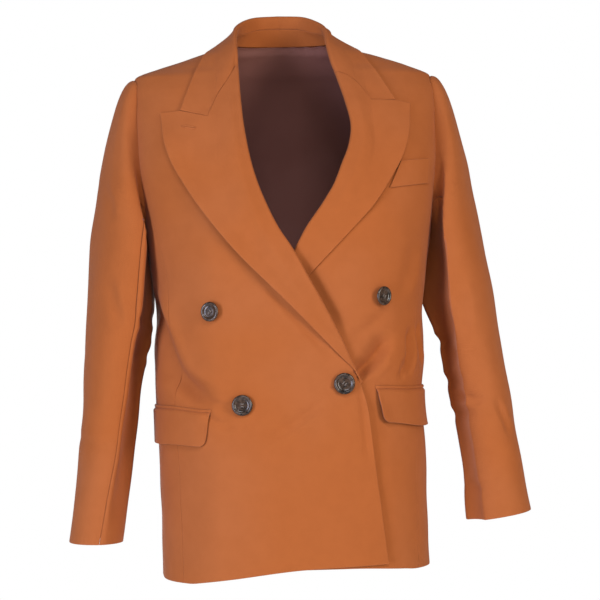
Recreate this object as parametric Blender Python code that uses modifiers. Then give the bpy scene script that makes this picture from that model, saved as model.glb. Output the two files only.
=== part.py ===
"""Double breasted blazer, filled out and empty, built from its cut pieces.

Metres, +Z up, the front faces -Y, the wearer's right side is at -X. The origin lies
between the shoulders at the height of the neck seam, where the wearer carries it.

Every cloth piece is a thin slab in its own (across, along, depth) coordinates, bent over
one body form. The body form is a stack of horizontal sections; `turn` runs round a section:
0 is the wearer's left side, 1 the middle of the front, 2 the right side, 3 the middle back.
"""
import math

import bmesh
import bpy
import numpy as np
from mathutils import Vector

COLLECTION = "double_breasted_blazer"

# Cloth and sewing sizes
SHELL = 0.0016            # fused twill with its lining
LINING = 0.0010
SEAM = 0.0004             # gap between two sewn pieces
LAYER = 0.0010            # air between a panel and what lies on it
OVERLAP_LIFT = 0.0052     # how far the lapping front stands over the front beneath it
CROSSING_LIFT = 0.0036    # and how much more where the lower lapel passes beneath it
ROLL = SHELL / 2 + LAYER + SHELL          # radius of a rolled edge, round a panel's edge
LINING_GAP = 0.0050       # the lining hangs this far inside the backs
LINING_SEAM = 0.0006      # and this far where it is sewn to them
OVERLAP_FROM_X, OVERLAP_FROM_Z = (-0.150, -0.100), (-0.165, -0.240)
CROSSING_X = ((-0.065, -0.025), (0.075, 0.035))
CROSSING_Z = ((-0.190, -0.245), (-0.405, -0.345))

# Sections of the body form
SECTION_COLUMNS = ("height", "half_width", "middle_y", "front_depth", "back_depth",
                   "squareness", "middle_x")
BODY_SECTIONS = np.array((
    (-0.720, 0.1735, 0.000, 0.128, 0.112, 2.7, 0.000),
    (-0.560, 0.1728, 0.000, 0.128, 0.108, 2.7, -0.001),
    (-0.450, 0.1720, 0.000, 0.128, 0.101, 2.6, -0.003),
    (-0.380, 0.1735, 0.000, 0.129, 0.100, 2.6, -0.002),
    (-0.300, 0.1790, 0.000, 0.130, 0.104, 2.6, 0.000),
    (-0.220, 0.1880, 0.000, 0.126, 0.110, 2.6, 0.000),
    (-0.150, 0.1970, 0.002, 0.109, 0.107, 2.6, 0.000),
    (-0.090, 0.1995, 0.008, 0.086, 0.093, 2.5, 0.000),
    (-0.060, 0.1995, 0.012, 0.071, 0.082, 2.3, 0.000),
    (-0.040, 0.1935, 0.015, 0.059, 0.073, 2.1, 0.000),
    (-0.028, 0.1640, 0.016, 0.050, 0.067, 2.0, 0.000),
    (-0.015, 0.1250, 0.017, 0.042, 0.062, 2.0, 0.000),
    (0.000, 0.0800, 0.018, 0.034, 0.057, 2.0, 0.000),
    (0.012, 0.0640, 0.018, 0.030, 0.054, 2.0, 0.000),
    (0.060, 0.0560, 0.018, 0.030, 0.052, 2.0, 0.000),
))
RING_STEPS = 64           # points along a quarter of a section
NORMAL_TURN, NORMAL_HEIGHT = 0.012, 0.0015          # steps for the form's own normals
SLOPE_STEP = 0.0004
CLEARING_ROUNDS, CLEARING_LIMIT = 4, 0.03
SHEET_STEP = 0.004        # step for the normals of a free sheet
LINE_STEP = 0.01
SHARP_ANGLE = math.radians(50)

# Main soft folds of the body, as troughs between two points of the front
BODY_FOLDS = (            # (start_x, start_z, end_x, end_z, half_width, depth)
    (-0.172, -0.330, -0.128, -0.437, 0.011, 0.0060),
    (-0.150, -0.395, -0.104, -0.446, 0.012, 0.0030),
    (0.078, -0.425, 0.142, -0.372, 0.010, 0.0050),
    (0.040, -0.338, 0.058, -0.390, 0.010, 0.0030),
    (0.125, -0.345, 0.168, -0.318, 0.011, 0.0045),
    (-0.060, -0.500, 0.040, -0.470, 0.016, 0.0025),
)
FOLD_END = 0.25           # share of its length over which a fold starts and stops
FOLD_SIDE = 0.03          # folds fade out towards the sides
LEFT_FOLDS = tuple(row for row in BODY_FOLDS if row[0] > 0)

# Edges of the fronts, as (x, z) seen from the front
NECK_HEIGHT = 0.004
TIP_HEIGHT = -0.042
NECK_MIDDLE_X, NECK_MIDDLE_SHARE = 0.0715, 0.50
HEM_CORNER = 0.9          # share of the hem after which it turns to the side body's own hem
OVER_EDGE = ((0.107, -0.669), (0.099, -0.602), (0.089, -0.514), (0.084, -0.471), (0.079, -0.438))
OVER_ROLL = ((0.079, -0.438), (0.069, -0.411), (0.036, -0.344), (-0.006, -0.265), (-0.038, -0.206),
             (-0.052, -0.161), (-0.059, -0.115), (-0.0615, -0.070), (-0.0615, -0.030))
UNDER_EDGE = ((-0.098, -0.672), (-0.092, -0.560), (-0.086, -0.455))
UNDER_ROLL = ((-0.086, -0.455), (-0.040, -0.345), (0.003, -0.258), (0.024, -0.222), (0.057, -0.164),
              (0.071, -0.138), (0.0765, -0.115), (0.072, -0.080), (0.0625, -0.041))
RIGHT_HEM = ((0.107, -0.669), (0.000, -0.672), (-0.092, -0.682), (-0.145, -0.689))
LEFT_HEM = ((-0.098, -0.672), (0.060, -0.672), (0.155, -0.674))
SIDE_HEM_RIGHT = -0.683
SIDE_HEM_LEFT = -0.674
BACK_HEM = -0.682

# Seams of the side bodies: half widths seen from the front or the back
FRONT_SIDE_SEAM = ((-0.690, 0.150), (-0.560, 0.152), (-0.450, 0.155), (-0.370, 0.156), (-0.290, 0.164),
                   (-0.225, 0.1785))
BACK_SIDE_SEAM = ((-0.690, 0.145), (-0.560, 0.145), (-0.450, 0.145), (-0.370, 0.148), (-0.290, 0.158),
                  (-0.215, 0.1780))

# Armhole, seen from the side: (share of its length from the shoulder point, y, z)
ARMHOLE = np.array((
    (0.000, 0.0148, -0.0420),
    (0.050, -0.003, -0.0475),
    (0.100, -0.014, -0.0665),
    (0.190, -0.027, -0.1100),
    (0.290, -0.039, -0.1680),
    (0.390, -0.034, -0.2150),
    (0.500, 0.008, -0.2400),
    (0.610, 0.048, -0.2120),
    (0.710, 0.060, -0.1620),
    (0.810, 0.058, -0.1080),
    (0.900, 0.045, -0.0670),
    (0.950, 0.032, -0.0490),
    (1.000, 0.0148, -0.0420),
))
FRONT_JOIN = 0.375        # share where the front side seam meets the armhole
BACK_JOIN = 0.625

# Sleeves: outer and inner edge seen from the front, then place and depth seen from the side
SLEEVE_COLUMNS = ("height", "outer_x", "inner_x", "middle_y", "half_depth", "twist")
SLEEVES = {
    "right": np.array((
        (-0.262, 0.2545, 0.1780, 0.004, 0.074, 14.0),
        (-0.310, 0.2600, 0.1755, -0.001, 0.072, 12.0),
        (-0.385, 0.2660, 0.1820, -0.006, 0.067, 8.0),
        (-0.460, 0.2720, 0.1980, -0.012, 0.060, 4.0),
        (-0.530, 0.2790, 0.2075, -0.018, 0.054, 2.0),
        (-0.590, 0.2870, 0.2170, -0.024, 0.050, 0.0),
        (-0.637, 0.2940, 0.2250, -0.030, 0.048, 0.0),
    )),
    "left": np.array((
        (-0.262, 0.2570, 0.1780, 0.004, 0.074, 14.0),
        (-0.320, 0.2670, 0.1755, -0.001, 0.072, 12.0),
        (-0.390, 0.2750, 0.1930, -0.006, 0.067, 8.0),
        (-0.450, 0.2840, 0.2040, -0.012, 0.060, 4.0),
        (-0.535, 0.2940, 0.2185, -0.018, 0.054, 2.0),
        (-0.580, 0.3000, 0.2220, -0.024, 0.051, 0.0),
        (-0.618, 0.3060, 0.2225, -0.030, 0.049, 0.0),
    )),
}
SLEEVE_SQUARENESS = 2.3
CUFF_TILT = {"right": 0.03, "left": 0.15}      # rise of the cuff per metre outwards
SLEEVE_CLEAR = 0.0035     # sleeve cloth to body cloth
CAP_PUSH = 0.075          # how far the sleeve head reaches out before it falls
CAP_SHARE = 0.375
CAP_LEAVE = 0.016
CAP_FORWARD = 0.030
CAP_RISE = 0.012
CAP_FALL = 0.010
SLEEVE_SEAM = 0.0006      # sleeve cloth over the armhole's edge
SLEEVE_SEAM_CLEAR = 0.00054
SLEEVE_RUNS_ON = 0.01     # how far past its seams its own normals are read
CLEAR_BY = 0.6            # share of the cap over which the sleeve comes clear of the body
CAP_ARRIVE, CAP_STEP = 0.9, 0.01
CUFF_TILT_POWER = 4
SEAMS_SETTLE = 0.45       # share of the sleeve by which its seams run straight
SLEEVE_SEAM_GAP = 0.0019  # share of the sleeve's girth, on each side of a seam
SLEEVE_SEAMS = {"right": (0.300, 0.660), "left": (0.330, 0.660)}
SLEEVE_SEAMS_TOP = (0.385, 0.640)
SLEEVE_CREASES = (        # (side, height, share round, half height, half share, depth)
    ("right", -0.345, 0.42, 0.010, 0.10, 0.0035),
    ("right", -0.250, 0.18, 0.012, 0.10, 0.0020),
    ("right", -0.430, 0.40, 0.012, 0.10, 0.0025),
    ("left", -0.375, 0.42, 0.010, 0.10, 0.0040),
    ("left", -0.425, 0.42, 0.010, 0.10, 0.0040),
    ("left", -0.480, 0.25, 0.012, 0.16, 0.0040),
    ("left", -0.545, 0.42, 0.010, 0.09, 0.0030),
)

# Lapels, as (x, z) seen from the front
OVER_LAPEL_EDGE = ((0.079, -0.438), (0.062, -0.412), (0.030, -0.382), (-0.036, -0.313), (-0.073, -0.273),
                   (-0.105, -0.231), (-0.133, -0.189), (-0.151, -0.153), (-0.160, -0.120), (-0.164, -0.090))
OVER_GORGE = ((-0.0615, -0.030), (-0.077, -0.049), (-0.090, -0.067), (-0.098, -0.083), (-0.105, -0.097))
OVER_NOTCH = (-0.139, -0.088)
OVER_TIP = (-0.164, -0.090)
UNDER_LAPEL_EDGE = ((-0.086, -0.455), (-0.050, -0.385), (0.018, -0.299), (0.068, -0.248), (0.100, -0.214),
                    (0.121, -0.185), (0.139, -0.155), (0.150, -0.125), (0.158, -0.083))
UNDER_GORGE = ((0.0625, -0.041), (0.080, -0.045), (0.094, -0.057), (0.101, -0.067), (0.106, -0.078))
UNDER_NOTCH = (0.138, -0.0785)
UNDER_TIP = (0.158, -0.083)
FACING_WIDTH = 0.015      # how far the facing reaches behind the roll line
LAPEL_BOW = 0.0030        # soft roll of the lapel over its fold
BOW_RISE = (0.0, 0.007)   # reach from the roll over which the bow rises, then falls
BOW_FALL = (0.050, 0.010)
BOW_WIDTHS = (0.012, 0.050)         # lapel widths from no bow to the whole bow
BOW_TOP_SHARE, BOW_TOP = 0.85, 0.25 # the bow left at the gorge
UNDER_BOW_HEIGHTS = (-0.250, -0.200)
GORGE_FADE = 0.8
BREAK_WIDTH = 0.004       # lapel width where the buttoning starts

# Collar, from the front end (share 0) to the centre back (share 1)
COLLARS = {               # (share, roll_x, roll_y, roll_z, edge_x, edge_y, edge_z)
    "right": np.array((
        (0.00, 0.0615, -0.0312, -0.0300, 0.1390, -0.0600, -0.0880),
        (0.15, 0.0612, -0.0230, -0.0130, 0.1280, -0.0430, -0.0600),
        (0.30, 0.0612, -0.0050, 0.0060, 0.1150, -0.0200, -0.0310),
        (0.50, 0.0600, 0.0200, 0.0250, 0.1010, 0.0200, -0.0020),
        (0.67, 0.0505, 0.0460, 0.0360, 0.0830, 0.0620, -0.0030),
        (0.85, 0.0280, 0.0670, 0.0430, 0.0450, 0.0860, -0.0080),
        (1.00, 0.0000, 0.0745, 0.0450, 0.0000, 0.0920, -0.0100),
    )),
    "left": np.array((
        (0.00, 0.0625, -0.0420, -0.0410, 0.1380, -0.0540, -0.0785),
        (0.15, 0.0575, -0.0290, -0.0220, 0.1290, -0.0420, -0.0580),
        (0.30, 0.0545, -0.0080, 0.0030, 0.1150, -0.0180, -0.0290),
        (0.50, 0.0550, 0.0200, 0.0245, 0.1020, 0.0200, -0.0010),
        (0.67, 0.0475, 0.0460, 0.0360, 0.0830, 0.0620, -0.0030),
        (0.85, 0.0270, 0.0670, 0.0430, 0.0450, 0.0860, -0.0080),
        (1.00, 0.0000, 0.0745, 0.0450, 0.0000, 0.0920, -0.0100),
    )),
}
STAND_DROP = 0.014        # stand seam below the roll at the centre back
FRONT_DROP = 0.001        # and at the collar's front end
STAND_REACH = 0.62        # share of each half collar that has a stand

GORGE_GAP = 0.0014
COLLAR_END_FADE = 0.16    # how far along the collar its shaped end reaches
COLLAR_FLIP = -1.0
COLLAR_SMOOTHING = (-0.04, -0.02, 0.0, 0.02, 0.04)  # shares over which its way out is averaged
ROLL_COLUMN, EDGE_COLUMN = 1, 4
OVER_NECK = (0.0, 0.018, 0.100)     # a point above the neck
DROP_SHARES = (0.30, 0.75)
COLLAR_LEAVE, COLLAR_ARRIVE = 0.7, 0.8
COLLAR_FOLD_KEEP = 0.05   # share of its width that keeps its fold at the ends
COLLAR_CLEAR_FROM = 0.12
NECK_FRONT_SHARE = 0.50   # share of each half neck seam that lies on the front
STAND_GAP = 0.0012
LINING_HEM = -0.655
LINING_HEM_FADE = 6       # how quickly the raised hem levels out up the lining
LINING_TOP_SHARE = 0.80   # share of the armhole that the lining reaches
LINING_SEWN = (-0.004, 0.004)       # heights over which it comes out to its seam
LINING_INSET = 0.012      # round the body, inside the seams
LINING_NECK = (0.30, 0.0055)        # turn past the side, and height, of its top corners

# Pockets
FLAPS = (                 # (side, front end's x, top's z, length, depth)
    ("right", -0.113, -0.4725, 0.135, 0.040),
    ("left", 0.097, -0.4480, 0.135, 0.044),
)
FLAP_CORNER = 0.014
JET_DEPTH = 0.0050
JET_OVERHANG = 0.002
FLAP_BULGE, FLAP_BULGE_BY = 0.0015, 0.8
FLAP_SPACING = 1.4        # rows of cells lie closer at the rounded front corner
FLAP_LEAN = 0.10
WELT_TOP = ((0.1385, -0.159), (0.178, -0.155))
WELT_BOTTOM = ((0.122, -0.1935), (0.175, -0.187))

# Buttons
BUTTON_RADIUS = 0.0135
BUTTON_PLACES = (
    ("button_upper_right", -0.109, -0.345),
    ("button_upper_left", 0.109, -0.330),
    ("button_lower_right", -0.073, -0.463),
    ("button_fastened", 0.055, -0.439),
)
BUTTON_PROFILE = (        # (radius, height) from the top's middle to the back's middle
    (0.0, 0.0028), (0.0085, 0.0028), (0.0096, 0.0042), (0.0118, 0.0044), (0.0133, 0.0032),
    (BUTTON_RADIUS, 0.0022), (0.0120, 0.0008), (0.0055, 0.0), (0.0, 0.0),
)
BUTTON_WELD = 0.00005
BUTTON_SIDES = 20
BUTTON_SEAT = 0.0008

# How finely each piece is divided
FRONT_ROWS = (9, 17, 2)   # below the break, along the roll, along the neck
FRONT_ROWS_BELOW = 18     # of the same rows, those below the armhole
FRONT_COLUMNS = 13
SIDE_ROWS, SIDE_COLUMNS = 18, 4
BACK_ROWS = (18, 6, 6)    # along the side seam, the armhole, the shoulder
BACK_COLUMNS = 8
LINING_ROWS = (8, 5, 7)   # along the side seam, the armhole, the neck
LINING_COLUMNS = 12
LAPEL_ROWS = 20
LAPEL_TOP_CELLS = (5, 2, 2)
FACING_CELLS, ROLL_CELLS, COLLAR_INNER_CELLS = 1, 4, 1
COLLAR_CELLS = 32
STAND_ROWS, STAND_CELLS = 2, 24
SLEEVE_ROWS, UPPER_COLUMNS, UNDER_COLUMNS = 24, 12, 6
FLAP_CELLS, JET_CELLS, WELT_CELLS = (9, 4), (7, 1), (4, 3)

# Colours: base colour, roughness, metallic
FINISHES = {
    "rust_twill": ((0.49, 0.14, 0.038, 1.0), 0.72, 0.0),
    "brown_lining": ((0.065, 0.022, 0.019, 1.0), 0.42, 0.0),
    "dark_horn": ((0.022, 0.015, 0.012, 1.0), 0.28, 0.0),
}


def curve(knots, values, at):
    """Monotone cubic through a table's rows, read at the given places."""
    knots = np.asarray(knots, float)
    values = np.asarray(values, float)
    at = np.clip(np.asarray(at, float), knots[0], knots[-1])
    step = np.diff(knots)
    slope = np.diff(values) / step
    tangent = np.empty_like(values)
    tangent[0] = slope[0]
    tangent[-1] = slope[-1]
    left, right = slope[:-1], slope[1:]
    weight_left = 2 * step[1:] + step[:-1]
    weight_right = step[1:] + 2 * step[:-1]
    same = left * right > 0
    safe_left = np.where(same, left, 1.0)
    safe_right = np.where(same, right, 1.0)
    mean = (weight_left + weight_right) / (weight_left / safe_left + weight_right / safe_right)
    tangent[1:-1] = np.where(same, mean, 0.0)
    row = np.clip(np.searchsorted(knots, at, side="right") - 1, 0, len(step) - 1)
    t = (at - knots[row]) / step[row]
    width = step[row]
    return ((2 * t**3 - 3 * t**2 + 1) * values[row] + (t**3 - 2 * t**2 + t) * width * tangent[row]
            + (3 * t**2 - 2 * t**3) * values[row + 1] + (t**3 - t**2) * width * tangent[row + 1])


def ramp(value, low, high):
    """Smooth step from 0 at low to 1 at high."""
    t = np.clip((np.asarray(value, float) - low) / (high - low), 0.0, 1.0)
    return t * t * (3 - 2 * t)


def mix(a, b, share):
    return a + (b - a) * share


def through(points):
    """A smooth line through points, as a function of the share of its length."""
    points = np.asarray(points, float)
    length = np.concatenate(([0.0], np.cumsum(np.linalg.norm(np.diff(points, axis=0), axis=1))))
    knots = length / length[-1]
    tangent = np.gradient(points, knots, axis=0)

    def place(share):
        share = np.clip(np.asarray(share, float), 0.0, 1.0)
        row = np.clip(np.searchsorted(knots, share, side="right") - 1, 0, len(knots) - 2)
        width = (knots[row + 1] - knots[row])
        t = ((share - knots[row]) / width)[..., None]
        width = width[..., None]
        return ((2 * t**3 - 3 * t**2 + 1) * points[row] + (t**3 - 2 * t**2 + t) * width * tangent[row]
                + (3 * t**2 - 2 * t**3) * points[row + 1] + (t**3 - t**2) * width * tangent[row + 1])
    return place


def chain(parts):
    """Joins lines end to end: (share of the whole at which the part ends, line)."""
    def place(share):
        share = np.clip(np.asarray(share, float), 0.0, 1.0)
        result = np.zeros(share.shape + (2,))
        start = 0.0
        for end, line in parts:
            here = (share >= start) if start else np.ones(share.shape, bool)
            local = np.clip((share - start) / (end - start), 0.0, 1.0)
            result = np.where(here[..., None], line(local), result)
            start = end
        return result
    return place


def patch(u, v, bottom, top, inner, outer):
    """A four sided patch between its edges."""
    u1, v1 = u[..., None], v[..., None]
    zero, one = np.zeros_like(u), np.ones_like(u)
    corners = ((1 - u1) * (1 - v1) * bottom(zero) + u1 * (1 - v1) * bottom(one)
               + (1 - u1) * v1 * top(zero) + u1 * v1 * top(one))
    return (1 - v1) * bottom(u) + v1 * top(u) + (1 - u1) * inner(v) + u1 * outer(v) - corners


def section(height):
    """The body form's half width, middle, depths and squareness at a height."""
    knots = BODY_SECTIONS[:, 0]
    return [curve(knots, BODY_SECTIONS[:, column], height) for column in range(1, len(SECTION_COLUMNS))]


def quarter(height, front):
    """Places along a quarter of a section, from the side (first) to the middle (last)."""
    half_width, middle, front_depth, back_depth, squareness, _ = section(height)
    depth = np.where(front, front_depth, back_depth)
    angle = np.linspace(0.0, math.pi / 2, RING_STEPS)
    power = (2 / squareness)[..., None]
    x = half_width[..., None] * np.maximum(np.cos(angle), 0.0)**power
    y = depth[..., None] * np.maximum(np.sin(angle), 0.0)**power
    length = np.zeros_like(x)
    length[..., 1:] = np.cumsum(np.hypot(np.diff(x), np.diff(y)), axis=-1)
    return x, y, length, middle


def read_row(table, target, value):
    """Reads value where the rising table reaches target, row by row."""
    index = np.clip((table < target[..., None]).sum(axis=-1), 1, table.shape[-1] - 1)
    low = np.take_along_axis(table, (index - 1)[..., None], -1)[..., 0]
    high = np.take_along_axis(table, index[..., None], -1)[..., 0]
    share = np.clip((target - low) / np.maximum(high - low, 1e-12), 0.0, 1.0)
    first = np.take_along_axis(value, (index - 1)[..., None], -1)[..., 0]
    last = np.take_along_axis(value, index[..., None], -1)[..., 0]
    return mix(first, last, share)


def form(turn, height):
    """Points of the smooth body form."""
    turn, height = np.broadcast_arrays(np.asarray(turn, float) % 4.0, np.asarray(height, float))
    front = turn < 2
    x, y, length, middle = quarter(height, front)
    inside = np.where(turn % 2 <= 1, turn % 2, 2 - turn % 2)
    right = (turn > 1) & (turn < 3)
    target = inside * length[..., -1]
    across = read_row(length, target, x)
    deep = read_row(length, target, y)
    shift = section(height)[5]
    x = shift + np.where(right, -across, across)
    return np.stack((x, middle + np.where(front, -deep, deep), height), -1)


def facing_out(turn, height):
    """Unit normals of the body form."""
    height = np.asarray(height, float)
    round_it = form(turn + NORMAL_TURN, height) - form(turn - NORMAL_TURN, height)
    up = form(turn, height + NORMAL_HEIGHT) - form(turn, height - NORMAL_HEIGHT)
    normal = np.cross(up, round_it)
    return normal / np.linalg.norm(normal, axis=-1, keepdims=True)


def turn_at_x(x, height, front=True):
    """The turn at which the form's front (or back) is seen at x."""
    x, height = np.broadcast_arrays(np.asarray(x, float), np.asarray(height, float))
    across, _, length, _ = quarter(height, np.full(height.shape, front))
    x = x - section(height)[5]
    part = read_row(-across, -np.abs(x), length) / length[..., -1]
    if front:
        return np.where(x < 0, 2 - part, part)
    return np.where(x < 0, 2 + part, 4 - part)


def turn_at_y(y, height, right):
    """The turn at which the form's right (or left) side is seen at y."""
    y, height = np.broadcast_arrays(np.asarray(y, float), np.asarray(height, float))
    middle = section(height)[1]
    front = y < middle
    _, deep, length, _ = quarter(height, front)
    part = read_row(deep, np.abs(y - middle), length) / length[..., -1]
    turn = np.where(front, part, -part)
    return 2 - turn if right else turn % 4.0


def relief(point, folds):
    """Depth of the soft folds at points of the front."""
    x, z = point[..., 0], point[..., 2]
    front = ramp(-point[..., 1], 0.0, FOLD_SIDE)
    total = np.zeros(x.shape)
    for start_x, start_z, end_x, end_z, half_width, depth in folds:
        run_x, run_z = end_x - start_x, end_z - start_z
        size = math.hypot(run_x, run_z)
        along = ((x - start_x) * run_x + (z - start_z) * run_z) / size**2
        off = ((x - start_x) * run_z - (z - start_z) * run_x) / size
        fade = ramp(along, -FOLD_END, FOLD_END) * ramp(along, 1 + FOLD_END, 1 - FOLD_END)
        total -= depth * fade * np.exp(-(off / half_width)**2)
    return total * front


def laid(turn, height, out=0.0, folds=BODY_FOLDS):
    """Points that lie over the body form, moved out along its normals."""
    point = form(turn, height)
    normal = facing_out(turn, height)
    return point + normal * (relief(point, folds) + out)[..., None]


def lapping(point):
    """How far the lapping front stands off the form where another layer lies beneath it."""
    x, z = point[..., 0], point[..., 2]
    overlap = ramp(x, *OVERLAP_FROM_X) * ramp(z, *OVERLAP_FROM_Z)
    crossing = ramp(x, *CROSSING_X[0]) * ramp(x, *CROSSING_X[1])
    crossing = crossing * ramp(z, *CROSSING_Z[0]) * ramp(z, *CROSSING_Z[1])
    return OVERLAP_LIFT * overlap + CROSSING_LIFT * crossing


def clear_of_body(point, distance):
    """Pushes points out of the body form until they are clear of it."""
    point = point.copy()
    for _ in range(CLEARING_ROUNDS):
        gap, normal = body_gap(point)
        push = np.clip(distance - gap, 0.0, CLEARING_LIMIT)
        point += normal * push[..., None]
    return point


def body_field(point):
    """Negative inside the body form, positive outside it."""
    half_width, middle, front_depth, back_depth, squareness, shift = section(point[..., 2])
    depth = np.where(point[..., 1] < middle, front_depth, back_depth)
    return ((np.abs(point[..., 0] - shift) / half_width)**squareness
            + (np.abs(point[..., 1] - middle) / depth)**squareness)**(1 / squareness) - 1


def body_gap(point):
    """Distance from the body form, and the way out."""
    value = body_field(point)
    slope = np.stack([(body_field(point + axis) - body_field(point - axis)) / (2 * SLOPE_STEP)
                      for axis in np.eye(3) * SLOPE_STEP], -1)
    size = np.linalg.norm(slope, axis=-1)
    return value / size, slope / size[..., None]


def material(name):
    colour, roughness, metallic = FINISHES[name]
    finish = bpy.data.materials.new(name)
    finish.use_nodes = True
    shader = finish.node_tree.nodes["Principled BSDF"]
    shader.inputs["Base Color"].default_value = colour
    shader.inputs["Roughness"].default_value = roughness
    shader.inputs["Metallic"].default_value = metallic
    finish.diffuse_color = colour
    return finish


def own_object(name, mesh, finish):
    """Links one named piece with its own material."""
    mesh.materials.append(material(finish))
    piece = bpy.data.objects.new(name, mesh)
    bpy.data.collections[COLLECTION].objects.link(piece)
    return piece


def cloth(name, finish, cells, shape):
    """A slab of cells[0] x cells[1], bent by shape(across, along) -> outer and inner points."""
    body = bmesh.new()
    bmesh.ops.create_grid(body, x_segments=cells[0], y_segments=cells[1], size=0.5)
    raised = bmesh.ops.extrude_face_region(body, geom=list(body.faces), use_keep_orig=True)
    top = [part for part in raised["geom"] if isinstance(part, bmesh.types.BMVert)]
    bmesh.ops.translate(body, verts=top, vec=(0.0, 0.0, 1.0))
    bmesh.ops.recalc_face_normals(body, faces=body.faces)
    places = np.array([vert.co[:] for vert in body.verts])
    outer, inner = shape(places[:, 0] + 0.5, places[:, 1] + 0.5)
    bent = np.where(places[:, 2:] > 0.5, inner, outer)
    for vert, place in zip(body.verts, bent):
        vert.co = place
    if body.calc_volume(signed=True) < 0:
        bmesh.ops.reverse_faces(body, faces=body.faces)
    mesh = bpy.data.meshes.new(name)
    body.to_mesh(mesh)
    body.free()
    mesh.shade_smooth()
    mesh.set_sharp_from_angle(angle=SHARP_ANGLE)
    return own_object(name, mesh, finish)


def thickened(place, thickness, flip=1.0, runs_on=0.0):
    """Outer and inner points of a sheet whose normals come from its own shape."""
    def shape(u, v):
        here = place(u, v)
        low_u, high_u = np.clip(u - SHEET_STEP, -runs_on, 1), np.clip(u + SHEET_STEP, 0, 1 + runs_on)
        low_v, high_v = np.clip(v - SHEET_STEP, 0, 1), np.clip(v + SHEET_STEP, 0, 1)
        normal = np.cross(place(high_u, v) - place(low_u, v), place(u, high_v) - place(u, low_v))
        normal /= np.maximum(np.linalg.norm(normal, axis=-1, keepdims=True), 1e-12)
        return here, here - normal * thickness * flip
    return shape


def panel(name, cells, edges, lift=None, folds=BODY_FOLDS, finish="rust_twill", sink=0.0, wall=SHELL):
    """A piece of the body, between four edges given as (turn, height)."""
    def shape(u, v):
        place = patch(u, v, *edges)
        turn, height = place[..., 0], place[..., 1]
        out = -sink + (lift(form(turn, height)) if lift else 0.0)
        return laid(turn, height, out, folds), laid(turn, height, out - wall, folds)
    return cloth(name, finish, cells, shape)


def front_line(points):
    """A line of the front, given as (x, z), as a function of share in (turn, height)."""
    line = through(points)

    def place(share):
        xz = line(share)
        return np.stack((turn_at_x(xz[..., 0], xz[..., 1]), xz[..., 1]), -1)
    return place


def quarter_length(height, front):
    return quarter(np.asarray(height, float), np.full(np.shape(height), front))[2][..., -1]


def armhole(share, right):
    """(turn, height) of the armhole, from the shoulder point down the front, round and up."""
    share = np.asarray(share, float)
    y = periodic(ARMHOLE[:, 0], ARMHOLE[:, 1], share)
    z = periodic(ARMHOLE[:, 0], ARMHOLE[:, 2], share)
    return turn_at_y(y, z, right), z


def periodic(knots, values, at):
    """Smooth closed curve through a table whose last row repeats the first."""
    knots_long = np.concatenate((knots[-3:-1] - 1, knots, knots[1:3] + 1))
    values_long = np.concatenate((values[-3:-1], values, values[1:3]))
    tangent = np.gradient(values_long, knots_long)
    at = np.asarray(at, float)
    row = np.clip(np.searchsorted(knots_long, at, side="right") - 1, 0, len(knots_long) - 2)
    width = knots_long[row + 1] - knots_long[row]
    t = (at - knots_long[row]) / width
    return ((2 * t**3 - 3 * t**2 + 1) * values_long[row] + (t**3 - 2 * t**2 + t) * width * tangent[row]
            + (3 * t**2 - 2 * t**3) * values_long[row + 1] + (t**3 - t**2) * width * tangent[row + 1])


def split_turn(turn, right, front, gap):
    """Keeps a turn on its own side of the shoulder seam, half a gap away from it."""
    ridge = 2.0 if right else (0.0 if front else 4.0)
    if right == front:
        return np.minimum(turn, ridge - gap)
    return np.maximum(turn, ridge + gap)


def moved(line, metres, front):
    """A line in (turn, height) moved round the body by a distance."""
    def place(share):
        at = line(share)
        turn, height = at[..., 0], at[..., 1]
        return np.stack((turn + metres / quarter_length(height, front), height), -1)
    return place


def side_seam(right, front):
    """The seam of a side body, from the hem to the armhole."""
    table = np.array(FRONT_SIDE_SEAM if front else BACK_SIDE_SEAM)
    height, half = table[:, 0], table[:, 1]
    turn = turn_at_x(-half if right else half, height, front)
    hem = SIDE_HEM_RIGHT if right else SIDE_HEM_LEFT
    join_turn, join_height = armhole(np.array([FRONT_JOIN if front else BACK_JOIN]), right)
    if not right and not front:
        turn = turn % 4.0
        join_turn = join_turn % 4.0
    height = np.append(height, join_height)
    turn = np.append(turn, join_turn)

    def place(share):
        at = mix(hem, join_height[0], np.asarray(share, float))
        return np.stack((curve(height, turn, at), at), -1)
    return place


def armhole_line(start, end, right, front):
    """A stretch of the armhole as (turn, height), kept on its side of the shoulder seam."""
    def place(share):
        turn, height = armhole(mix(start, end, np.asarray(share, float)), right)
        if not right:
            turn = np.where(turn > 2, turn - 4, turn) + (0 if front else 4)
        gap = SEAM / 2 / quarter_length(height, front)
        return np.stack((split_turn(turn, right, front, gap), height), -1)
    return place


def shoulder_line(right, front):
    """The shoulder seam as (turn, height), from the neck to the shoulder point."""
    def place(share):
        heights = np.linspace(NECK_HEIGHT, TIP_HEIGHT, RING_STEPS)
        widths = section(heights)[0]
        reach = mix(widths[0], widths[-1], np.asarray(share, float))
        height = np.interp(reach, widths, heights)
        ridge = 2.0 if right else (0.0 if front else 4.0)
        gap = SEAM / 2 / quarter_length(height, front)
        towards_front = -1 if right else 1
        turn = ridge + gap * (towards_front if front else -towards_front)
        return np.stack((turn, height), -1)
    return place


def straight(start, end):
    """A straight line in (turn, height)."""
    start, end = np.asarray(start, float), np.asarray(end, float)

    def place(share):
        return mix(start, end, np.asarray(share, float)[..., None])
    return place


def backwards(line):
    return lambda share: line(1 - np.asarray(share, float))


def beside(points, distance):
    """Points moved sideways, to the left of the way they run."""
    points = np.asarray(points, float)
    run = np.gradient(points, axis=0)
    run /= np.linalg.norm(run, axis=1, keepdims=True)
    return points + distance * np.stack((-run[:, 1], run[:, 0]), -1)


def side_sign(right):
    return -1.0 if right else 1.0


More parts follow.
